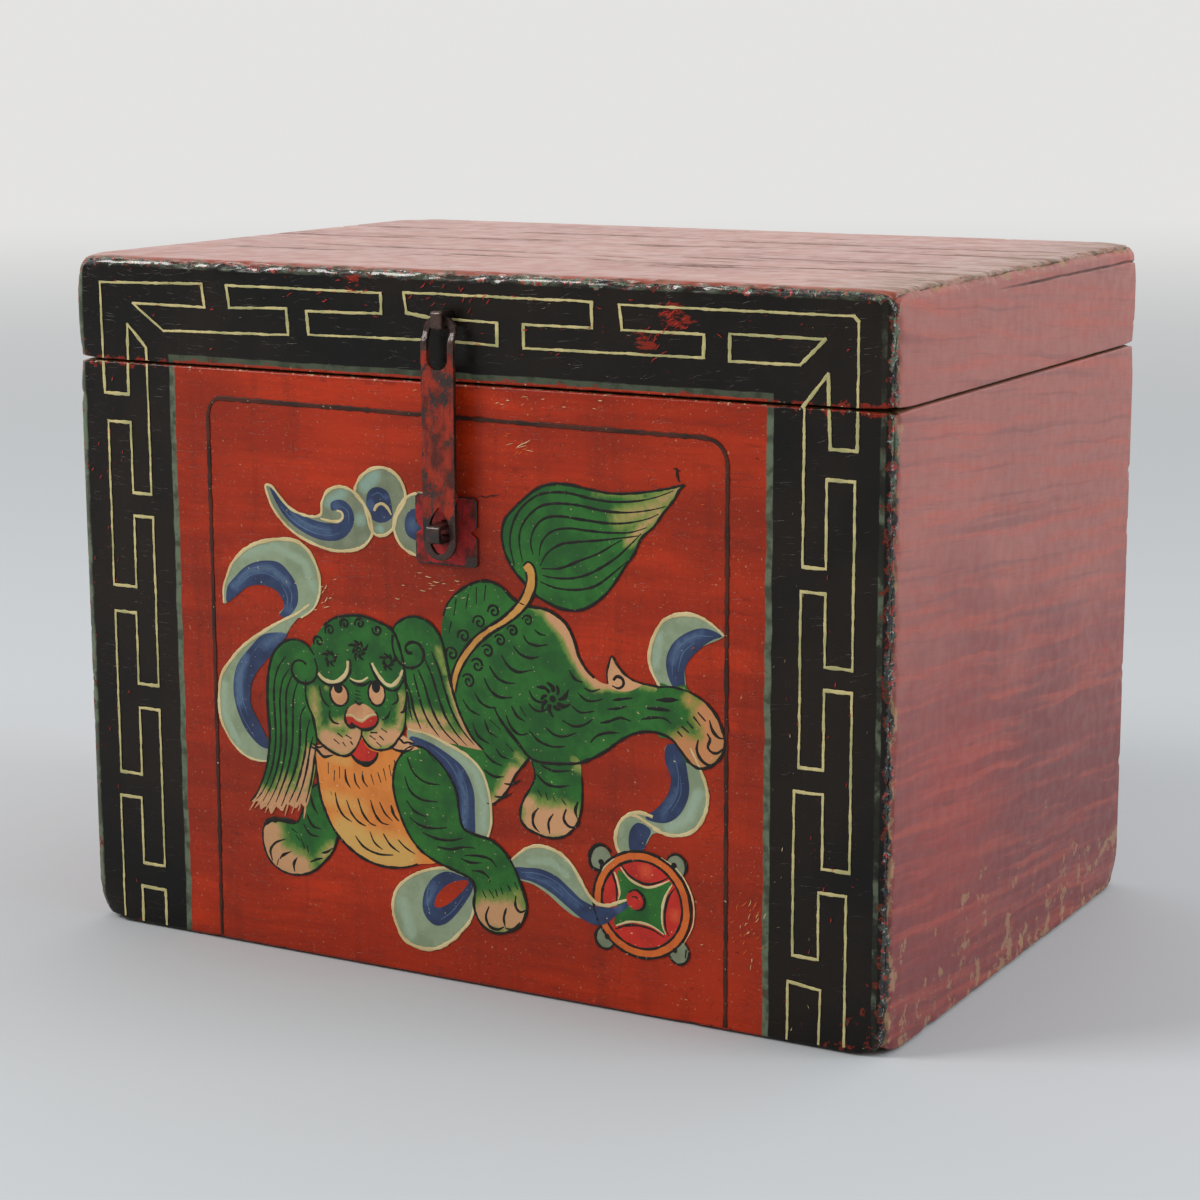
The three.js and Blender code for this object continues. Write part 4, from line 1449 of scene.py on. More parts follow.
@dataclass(frozen=True)
class WornBox:
    """The worn, rounded outside of the body or the lid, as one surface.

    Each wall takes its own side of it, so that neighbouring walls meet in one line.
    """

    bottom: float
    top: float
    round_side: float = 0.0072
    round_bottom: float = 0.0030
    round_top: float = 0.0012
    corner_bottom: float = 0.0075
    corner_top: float = 0.0022
    corner_reach: float = 0.030
    crack_height: float | None = None

    WEAR_REACH = 0.013
    CORNER_WEAR_REACH = 0.07
    SEAM_WEAR_REACH = 0.007
    WAVE_DEPTH = 0.00022
    BITE_DEPTH = 0.0016
    SEAM_DEPTH = 0.0005
    CRACK_DEPTH = 0.0018
    CRACK_START = -0.06
    CRACK_HALF = 0.0011

    def flat(self, side: Side, along: float, up: float) -> Vector:
        """Gives a point of the sharp box, before it is rounded.

        Args:
            side: The face.
            along: The place along X on the front, the back and the top, and along Y on the sides.
            up: The height, or the place along Y on the top.

        Returns:
            The point.
        """
        if side is Side.FRONT:
            return Vector((along, -HALF_DEPTH, up))
        if side is Side.BACK:
            return Vector((along, HALF_DEPTH, up))
        if side is Side.RIGHT:
            return Vector((HALF_WIDTH, along, up))
        if side is Side.LEFT:
            return Vector((-HALF_WIDTH, along, up))
        return Vector((along, up, self.top))

    def wear(self, p: Vector) -> tuple[float, float]:
        """Gives how near a point is to a worn edge, and to the seam.

        Args:
            p: A point of the sharp box.

        Returns:
            The nearness to the worn edges and to the seam, each from 0 to 1.
        """
        in_x = HALF_WIDTH - abs(p.x)
        in_y = HALF_DEPTH - abs(p.y)
        in_top = LID_TOP - p.z
        in_bottom = p.z
        reach = self.WEAR_REACH
        near = {
            "corner": 1 - min(1.0, max(in_x, in_y) / reach),
            "bottom": 1 - min(1.0, max(in_bottom, min(in_x, in_y)) / reach),
            "top": 1 - min(1.0, max(in_top, min(in_x, in_y)) / reach),
        }
        weight = 1.0 if p.x > 0 and p.y < 0 else 0.62
        underside = 0.45 if in_y < 1e-6 and in_x > 0.02 else 0.7
        front_right = Vector((p.x - HALF_WIDTH, p.y + HALF_DEPTH, p.z)).length
        low = max(0.0, 1 - front_right / self.CORNER_WEAR_REACH) * 0.7
        side_low = 0.42 * max(0.0, 1 - p.z / self.CORNER_WEAR_REACH) if in_x < 1e-6 else 0.0
        side_back = 0.45 * max(0.0, 1 - in_y / 0.05) if in_x < 1e-6 and p.y > 0 else 0.0
        edge = max(
            near["corner"] * weight, near["bottom"] * underside, near["top"] * 0.8, low, side_low,
            side_back,
        )
        seam = 1 - min(1.0, min(abs(p.z - BODY_TOP), abs(p.z - LID_BOTTOM)) / self.SEAM_WEAR_REACH)
        return edge, seam if min(in_x, in_y) < 1e-6 else 0.0

    def point(self, side: Side, along: float, up: float) -> tuple[Vector, float, float, float]:
        """Gives a point of the rounded and worn surface.

        Args:
            side: The face.
            along: As in flat.
            up: As in flat.

        Returns:
            The point, its edge wear, its seam wear and how far it lies in the crack.
        """
        p = self.flat(side, along, up)
        edge, seam = self.wear(p)
        rounded, out = self._rounded(p)
        wave = 0.5 + 0.5 * noise.noise(p * 17)
        depth = SKIN_INSET + self.WAVE_DEPTH * wave
        ragged = noise.noise(p * 110) + 0.5 * noise.noise(
            p * 290 + Vector((3, 1, 7))
        ) + 0.5 * noise.noise(p * 34)
        bite = max(0.0, min(1.0, (ragged * 0.75 + edge - 0.66) / 0.30))
        depth += self.BITE_DEPTH * bite * bite * (3 - 2 * bite) * min(1.0, edge * 1.3)
        if seam > 0.5:
            depth += self.SEAM_DEPTH * max(0.0, noise.noise(p * 210)) * seam
        crack, beside = self._crack(side, along, up)
        return rounded - out * (depth + self.CRACK_DEPTH * crack), max(edge, beside), seam, crack

    def _rounded(self, p: Vector) -> tuple[Vector, Vector]:
        """Rounds the box at a point and rubs its corners down.

        Args:
            p: A point of the sharp box.

        Returns:
            The point on the rounded box, and the way out of it there.
        """
        middle = (self.bottom + self.top) / 2
        radii = Vector(
            (self.round_side, self.round_side, self.round_bottom if p.z < middle else self.round_top)
        )
        core = Vector((
            max(radii.x - HALF_WIDTH, min(HALF_WIDTH - radii.x, p.x)),
            max(radii.y - HALF_DEPTH, min(HALF_DEPTH - radii.y, p.y)),
            max(self.bottom + radii.z, min(self.top - radii.z, p.z)),
        ))
        out = Vector((p[k] - core[k]) / radii[k] for k in range(3))
        out.normalize()
        rounded = Vector(core[k] + radii[k] * out[k] for k in range(3))
        low = p.z < middle
        tip = Vector(
            (
                math.copysign(HALF_WIDTH, p.x), math.copysign(HALF_DEPTH, p.y),
                self.bottom if low else self.top,
            )
        )
        rubbed = max(0.0, 1 - (p - tip).length / self.corner_reach)
        away = Vector((math.copysign(1, p.x), math.copysign(1, p.y), -1 if low else 1)).normalized()
        rounded -= away * (self.corner_bottom if low else self.corner_top) * rubbed * rubbed
        return rounded, out

    def _crack(self, side: Side, along: float, up: float) -> tuple[float, float]:
        """Gives how far a point lies in the crack under the top boards.

        Args:
            side: The face.
            along: As in flat.
            up: As in flat.

        Returns:
            The share of the crack's depth there, and the wear beside it.
        """
        if self.crack_height is None or side is not Side.RIGHT or along <= self.CRACK_START:
            return 0.0, 0.0
        off = abs(
            up - self.crack_height - 0.0005 * noise.noise(Vector((0, along * 30, 0)))
        ) / self.CRACK_HALF
        ragged = 0.85 + 0.5 * noise.noise(Vector((along * 60, 4, 4)))
        share = min(1.0, (along - self.CRACK_START) / 0.05) * ragged
        near = max(0.0, 1 - abs(up - self.crack_height) / 0.005)
        return max(0.0, 1 - off) * max(0.0, min(1.0, share)), 0.55 * near * share


def ticks(
    low: float, high: float, step: float, fine: float, reach: float, extra: Iterable[float] = (),
) -> list[float]:
    """Gives grid lines from one limit to the other, closer near both.

    Args:
        low: The first line.
        high: The last line.
        step: The distance between lines in the middle.
        fine: The distance near the limits.
        reach: How far from a limit the lines are close.
        extra: Lines that are added.

    Returns:
        The lines, in order.
    """
    count = max(1, round(reach / fine))
    ends = [low + reach * k / count for k in range(count)]
    ends += [high - reach * k / count for k in range(count)]
    inner = max(1, round((high - low - 2 * reach) / step))
    middle = [low + reach + (high - low - 2 * reach) * k / inner for k in range(inner + 1)]
    return sorted({round(v, 7) for v in ends + middle + list(extra)})


@dataclass
class Shell:
    """The painted walls of the body, or of the lid with its top."""

    name: str
    body: Body
    box: WornBox
    sides: dict[Side, tuple[str, ...]]
    inner_top: float
    palette: Palette
    step: float = 0.0032
    fine: float = 0.0010
    reach: float = 0.008
    extra: tuple[float, ...] = ()

    def build(self) -> None:
        """Builds each wall as a closed piece of its own and dresses it."""
        paints = {
            Side.FRONT: (self.palette.front, Slot.FRONT), Side.TOP: (self.palette.top, Slot.TOP),
            Side.BACK: (self.palette.back, Slot.SIDE),
        }
        for side, nodes in self.sides.items():
            paint, slot = paints.get(side, (self.palette.side, Slot.SIDE))
            wall = self._wall(side, paint)
            finished(wall, self.body, nodes)

    def _lines(self, side: Side) -> tuple[list[float], list[float]]:
        """Gives the grid lines of a wall, which its neighbours share at the edges.

        Args:
            side: Which wall.

        Returns:
            The lines along it and the lines up it.
        """
        wide = ticks(-HALF_WIDTH, HALF_WIDTH, self.step, self.fine, self.reach)
        deep = ticks(-HALF_DEPTH, HALF_DEPTH, self.step, self.fine, self.reach)
        tall = ticks(self.box.bottom, self.box.top, self.step, self.fine, self.reach, self.extra)
        if side is Side.TOP:
            return wide, deep
        return (wide if side in (Side.FRONT, Side.BACK) else deep), tall

    def _inner(self, side: Side, along: float, up: float) -> Vector:
        """Gives the point of a wall's inner face that lies behind a point of its outer face.

        Args:
            side: Which wall.
            along: As in WornBox.flat.
            up: As in WornBox.flat.

        Returns:
            The point.
        """
        wide = (HALF_WIDTH - WALL) / HALF_WIDTH
        deep = (HALF_DEPTH - WALL) / HALF_DEPTH
        if side is Side.TOP:
            return Vector((along * wide, up * deep, self.inner_top))
        share = (up - self.box.bottom) / (self.box.top - self.box.bottom)
        height = self.box.bottom + share * (self.inner_top - self.box.bottom)
        p = self.box.flat(side, along, height)
        return Vector((p.x * wide, p.y * deep, height))

    def _grid(
        self, made: bmesh.types.BMesh, side: Side, columns: list[float], rows: list[float],
    ) -> list[list[bmesh.types.BMVert]]:
        """Adds the points of a wall's outer face, each with its wear.

        Args:
            made: The mesh that they go into.
            side: Which wall.
            columns: The lines along it.
            rows: The lines up it.

        Returns:
            The points, column by column.
        """
        layers = [made.verts.layers.float.new(name) for name in ("edge", "seam", "crack")]
        grid = []
        for along in columns:
            line = []
            for up in rows:
                spot, *wear = self.box.point(side, along, up)
                vert = made.verts.new(spot)
                for layer, value in zip(layers, wear):
                    vert[layer] = value
                line.append(vert)
            grid.append(line)
        return grid

    def _wall(self, side: Side, paint: bpy.types.Material) -> bpy.types.Object:
        """Builds one wall.

        Args:
            side: Which wall.
            paint: The material of its outer face.

        Returns:
            The closed piece.
        """
        columns, rows = self._lines(side)
        made = bmesh.new()
        grid = self._grid(made, side, columns, rows)
        flip = side in (Side.BACK, Side.LEFT)
        for a, b in zip(grid, grid[1:]):
            for low in range(len(rows) - 1):
                ring = [a[low], b[low], b[low + 1], a[low + 1]]
                made.faces.new(ring[::-1] if flip else ring).smooth = True
        last_column, last_row = len(columns) - 1, len(rows) - 1
        rim = [(i, 0) for i in range(last_column)]
        rim += [(last_column, j) for j in range(last_row)]
        rim += [(i, last_row) for i in range(last_column, 0, -1)]
        rim += [(0, j) for j in range(last_row, 0, -1)]
        inner = [made.verts.new(self._inner(side, columns[i], rows[j])) for i, j in rim]
        for k, (i, j) in enumerate(rim):
            following = (k + 1) % len(rim)
            ni, nj = rim[following]
            ring = [grid[ni][nj], grid[i][j], inner[k], inner[following]]
            face = made.faces.new(ring[::-1] if flip else ring)
            face.material_index = 1
        cap = made.faces.new(inner if flip else inner[::-1])
        cap.material_index = 1
        wall = built(f"{self.name}_{side.value}", made)
        wall.data.materials.append(paint)
        along_x = side in (Side.FRONT, Side.BACK, Side.TOP)
        wall.data.materials.append(self.palette.wood_x if along_x else self.palette.wood_y)
        return wall


@dataclass
class Forging:
    """Ironwork beaten out by hand, over the shapes that the frame gives."""

    palette: Palette
    voxel: float = 0.0005
    hammer: float = 0.00022

    def forge(
        self, node: str, body: Body, slot: Slot, material: bpy.types.Material,
        bare: Callable[[Vector], float] | None = None,
    ) -> None:
        """Softens a node's edges, gives it hammer marks and hands it to the frame.

        Args:
            node: The CAD node that the piece stands for.
            body: The body that it moves with.
            slot: Not used.
            material: Its material.
            bare: How bare of paint the iron is at a point, from 0 to 1.
        """
        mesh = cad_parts[node].data.copy()
        made = bmesh.new()
        made.from_mesh(mesh)
        bmesh.ops.remove_doubles(made, verts=made.verts, dist=1e-6)
        made.to_mesh(mesh)
        made.free()
        piece = object_from(f"{node}_forged", mesh)
        remesh = piece.modifiers.new("remesh", "REMESH")
        remesh.mode = "VOXEL"
        remesh.voxel_size = self.voxel
        smooth = piece.modifiers.new("smooth", "SMOOTH")
        smooth.factor = 0.5
        smooth.iterations = 3
        result = evaluated(piece)
        piece.modifiers.clear()
        piece.data = result
        result.name = piece.name
        result.materials.clear()
        result.materials.append(material)
        attribute = result.attributes.new("bare", "FLOAT", "POINT")
        normals = [v.normal.copy() for v in result.vertices]
        for vert, normal in zip(result.vertices, normals):
            p = vert.co.copy()
            attribute.data[vert.index].value = bare(p) if bare else 1.0
            dent = 0.5 + 0.5 * noise.noise(p * 190) + 0.35 * noise.noise(p * 520)
            vert.co = p - normal * self.hammer * max(0.0, dent)
        result.shade_smooth()
        finished(piece, body, (node,))


class HaspMetal(Forging):
    """The hasp, its staple on the lid, and the lock plate with its staple."""

    EYE_FOOT = 0.405
    FOOT = 0.318
    STRAP_X = -0.004
    STRAP_FLAT = 0.0098
    PLATE = (-0.006, 0.2985)
    PLATE_FLAT = (0.0205, 0.0200)

    def _strap_bare(self, p: Vector) -> float:
        """Gives where the strap has lost its paint: round its eye, at its foot and on its edges.

        Args:
            p: The point.

        Returns:
            How bare it is, from 0 to 1.
        """
        eye = max(0.0, min(1.0, (p.z - self.EYE_FOOT) / 0.010))
        foot = max(0.0, min(1.0, (self.FOOT - p.z) / 0.014))
        rim = max(0.0, (abs(p.x - self.STRAP_X) - self.STRAP_FLAT) / 0.0022)
        patch = 0.35 + 0.5 * noise.noise(p * 70)
        return max(eye * 0.95, foot * 0.95, rim * 0.8, patch)

    def _plate_bare(self, p: Vector) -> float:
        """Gives where the plate has lost its paint: on its edges and at its lower right corner.

        Args:
            p: The point.

        Returns:
            How bare it is, from 0 to 1.
        """
        (x, z), (wide, tall) = self.PLATE, self.PLATE_FLAT
        rim = max(abs(p.x - x) - wide, abs(p.z - z) - tall) / 0.0025
        corner = 1.2 if p.x > 0.004 and p.z < 0.283 else 0.0
        return max(0.18, min(1.0, rim), corner * max(0.0, (p.x - 0.004) / 0.012))

    def build(self) -> None:
        """Builds the four pieces."""
        self.forge("hasp_strap", Body.HASP, Slot.PAINTED_IRON, self.palette.strap, self._strap_bare)
        self.forge("lock_plate", Body.TRUNK, Slot.PAINTED_IRON, self.palette.plate, self._plate_bare)
        self.forge("lock_staple", Body.TRUNK, Slot.FORGED_IRON, self.palette.forged)
        self.forge("hasp_staple", Body.LID, Slot.FORGED_IRON, self.palette.forged)


class HingeIron(Forging):
    """The two snipe hinges at the back."""

    def build(self) -> None:
        """Builds an eye and a loop for each side."""
        for side in ("left", "right"):
            self.forge(f"hinge_eye_{side}", Body.TRUNK, Slot.FORGED_IRON, self.palette.forged)
            self.forge(f"hinge_loop_{side}", Body.LID, Slot.FORGED_IRON, self.palette.forged)


class HeadTree(ShapeTree):
    """The tree that sets a hand-made nail head on every point."""

    def __init__(self) -> None:
        """Builds the tree once."""
        super().__init__(
            "nail_heads",
            {"Radius": ("Float", 0.0041), "Turn": ("Vector", (0.0, 0.0, 0.0)), "Seed": ("Int", 5)},
        )
        graph, given = self.graph, self.given
        ball = self.step("GeometryNodeMeshIcoSphere", {"Radius": given["Radius"], "Subdivisions": 3})
        here = self.step("GeometryNodeInputPosition")
        dents = graph.shift(graph.drift(here, 320.0, 1.0), (-0.5, -0.5, -0.5))
        offset = graph.stretch(dents, (0.0022, 0.0022, 0.0006))
        ball = self.step("GeometryNodeSetPosition", {"Geometry": ball, "Offset": offset})
        ball = self.step("GeometryNodeTransform", {"Geometry": ball, "Scale": (1.0, 1.0, 0.16)})
        ball = self.step("GeometryNodeSetShadeSmooth", {"Geometry": ball})
        size = graph.node(
            "FunctionNodeRandomValue", {2: 0.86, 3: 1.04, "Seed": given["Seed"]}, data_type="FLOAT",
        ).outputs[1]
        spots = self.step("GeometryNodeMeshToPoints", {"Mesh": given["Geometry"]})
        heads = self.step(
            "GeometryNodeInstanceOnPoints",
            {"Points": spots, "Instance": ball, "Rotation": given["Turn"], "Scale": size},
        )
        self.close(heads)


class NailHeads:
    """The nail heads under the paint of the bottom and the top."""

    DEPTH = 0.00082

    def __init__(self, palette: Palette) -> None:
        """Keeps the materials and builds the tree."""
        self.palette = palette
        self.tree = HeadTree()

    def build(self) -> None:
        """Builds the heads along the bottom and those on the top."""
        self._row("bottom_nail", Body.TRUNK, self.palette.side, (0.0, math.pi / 2, 0.0))
        self._row("top_nail", Body.LID, self.palette.top, (0.0, 0.0, 0.0))

    def _row(
        self, stem: str, body: Body, paint: bpy.types.Material, turn: tuple[float, ...],
    ) -> None:
        """Builds the heads of one kind of nail as one piece.

        Args:
            stem: The start of the nodes' names.
            body: The body that they move with.
            paint: Their material.
            turn: How a head is turned from lying flat.
        """
        nodes = sorted(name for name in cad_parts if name.startswith(stem))
        source = bmesh.new()
        for node in nodes:
            low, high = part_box(node)
            middle = (low + high) / 2
            if body is Body.LID:
                place = Vector((middle.x, middle.y, LID_TOP - self.DEPTH))
            else:
                place = Vector((math.copysign(HALF_WIDTH - self.DEPTH, middle.x), middle.y, middle.z))
            source.verts.new(place)
        piece = self.tree.run(built(f"{stem}_heads", source), Turn=turn, Material=paint)
        finished(piece, body, nodes)


class BottomBoards:
    """The bare planks of the bottom, as the frame has them."""

    def __init__(self, palette: Palette) -> None:
        """Keeps the materials."""
        self.palette = palette

    def build(self) -> None:
        """Dresses the planks."""
        for name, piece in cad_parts.items():
            if name.startswith("bottom_plank"):
                for place in piece.material_slots:
                    place.material = self.palette.wood_x
                log.info("%s: dressed", name)


class FrontWork:
    """Brushwork on the front, with its paints and its brush."""

    def __init__(self, palette: Palette, brush: BrushTree) -> None:
        """Keeps the paints and the brush."""
        self.palette = palette
        self.brush = brush

    def draw(
        self, name: str, strokes: Sequence[Stroke], level: float, paint: str, wobble: float,
        body: Body = Body.TRUNK,
    ) -> None:
        """Paints strokes as one piece and hands it to the frame.

        Args:
            name: The piece's name.
            strokes: The strokes.
            level: How many coats lie under them.
            paint: The name of their paint in the palette.
            wobble: How far the hand strays, in metres.
            body: The body that they move with.
        """
        piece = self.brush.paint(name, strokes, level, getattr(self.palette, paint), wobble)
        finished(piece, body)


class FretBorder(FrontWork):
    """The cream key fret on the black frame, cut at the lid's seam."""

    SEAM_LOW = 391.2
    SEAM_HIGH = 393.4
    PAST = 0.7
    SHORT = 30
    SHORT_WIDTH = 2.3
    LONG_WIDTH = 1.75
    RUNS = (
        path(24, 370, 23, 444, 107, 446, 109, 431, 50, 431, 75, 414, 175, 416, 174, 433, 129, 431.5, 127,
            446, 247, 446, 247, 433, 190, 432, 191, 417, 277, 418),
        path(24, 370, 44, 370, 45, 417, 60, 402, 60.5, 303.5, 45, 303.5, 45, 351, 26, 351, 26, 239, 45, 239,
            45, 288, 61, 288, 61, 172, 44, 172, 44, 221, 26, 221, 26, 108, 44, 108, 44, 155, 61, 155, 61,
            45, 43, 45, 43, 91, 25, 91, 25, 5),
        path(41, 3.5, 41, 28, 61, 28, 61, 3.5),
        path(283, 432, 266, 434, 264, 447, 399, 447, 399, 431, 351, 431, 351, 416.5, 475, 417, 475, 431,
            420, 431, 418, 446, 572, 446, 575, 443, 575, 368, 558, 368, 556, 412, 541, 393, 541, 297, 556,
            297, 556, 350, 574, 350, 574, 238, 556, 238, 556, 282, 540, 282, 540, 175, 556, 175, 556, 224,
            574, 224, 574, 114, 556, 114, 556, 160, 537, 160, 537, 57, 554, 57, 554, 99, 572, 99, 572, 5),
        path(492, 432, 554, 432, 538, 416, 492, 416, 492, 432),
        path(300, 432, 332, 431, 332, 417, 300, 418), path(534, 3.5, 534, 40, 556, 38, 555, 3.5))

    def build(self) -> None:
        """Paints the part of the fret on the lid and the part on the body."""
        parts = {Body.LID: [], Body.TRUNK: []}
        for run in self.RUNS:
            for a, b in zip(run, run[1:]):
                self._cut(a, b, parts)
        for body, strokes in parts.items():
            self.draw(f"fret_on_{body.value}", strokes, 2.5, "fret", 0.0011, body)

    def _cut(self, a: Point, b: Point, parts: dict[Body, list[Stroke]]) -> None:
        """Adds one straight pull of the brush to the part that it lies on, or to both.

        Args:
            a: Its start.
            b: Its end.
            parts: The strokes of each part.
        """
        low, high = sorted((a, b), key=lambda p: p[1])
        if low[1] >= self.SEAM_HIGH:
            parts[Body.LID].append(self._pull(a, b))
        elif high[1] <= self.SEAM_LOW:
            parts[Body.TRUNK].append(self._pull(a, b))
        else:
            for body, level, end in ((Body.LID, self.SEAM_HIGH, high), (Body.TRUNK, self.SEAM_LOW, low)):
                share = (level - low[1]) / (high[1] - low[1])
                parts[body].append(self._pull((low[0] + share * (high[0] - low[0]), level), end))

    def _pull(self, a: Point, b: Point) -> Stroke:
        """Makes one straight stroke, thicker where it is short, and a little past its corners.

        Args:
            a: Its start.
            b: Its end.

        Returns:
            The stroke.
        """
        length = math.dist(a, b)
        past = self.PAST / max(length, 1.0)
        start = (a[0] - (b[0] - a[0]) * past, a[1] - (b[1] - a[1]) * past)
        end = (b[0] + (b[0] - a[0]) * past, b[1] + (b[1] - a[1]) * past)
        for seam in (self.SEAM_LOW, self.SEAM_HIGH):
            start = a if abs(a[1] - seam) < 0.1 else start
            end = b if abs(b[1] - seam) < 0.1 else end
        middle = ((start[0] + end[0]) / 2, (start[1] + end[1]) / 2)
        width = self.SHORT_WIDTH if length < self.SHORT else self.LONG_WIDTH
        return Stroke((start, middle, end), width, 0.95, 0.9)


@dataclass(frozen=True)
class Coat:
    """Patches of one colour that are painted together."""

    name: str
    level: float
    paint: str
    patches: tuple[Patch, ...]


@dataclass(frozen=True)
class Lines:
    """Strokes of one colour that are painted together."""

    name: str
    level: float
    paint: str
    strokes: tuple[Stroke, ...]


def outline(points: tuple[Point, ...], width: float = 1.3) -> Stroke:
    """Makes a stroke all round a closed outline."""
    return Stroke(points + points[:2], width, 0.8, 0.8)


def lines(width: float, *runs: tuple[float, ...]) -> tuple[Stroke, ...]:
    """Makes several strokes of one width, each from a row of numbers as path takes them."""
    return tuple(Stroke(path(*run), width) for run in runs)


def rosette(x: float, z: float, inner: float, outer: float, count: int, width: float) -> tuple[Stroke, ...]:
    """Makes a ring of curved strokes, as a tuft of curled hair is drawn.

    Args:
        x: The middle.
        z: The middle.
        inner: The distance from the middle to each stroke's start.
        outer: The distance to its end.
        count: How many strokes there are.
        width: Their width.

    Returns:
        The strokes.
    """
    made = []
    for k in range(count):
        turn = math.tau * k / count
        reach = outer * (0.82 + 0.18 * math.cos(k * 2.3))
        steps = ((0.0, inner), (0.22, (inner + reach) / 2), (0.55, reach))
        run = tuple(
            (x + far * math.cos(turn + sweep), z + far * math.sin(turn + sweep))
            for sweep, far in steps
        )
        made.append(Stroke(run, width, 1.0, 0.4))
    return tuple(made)


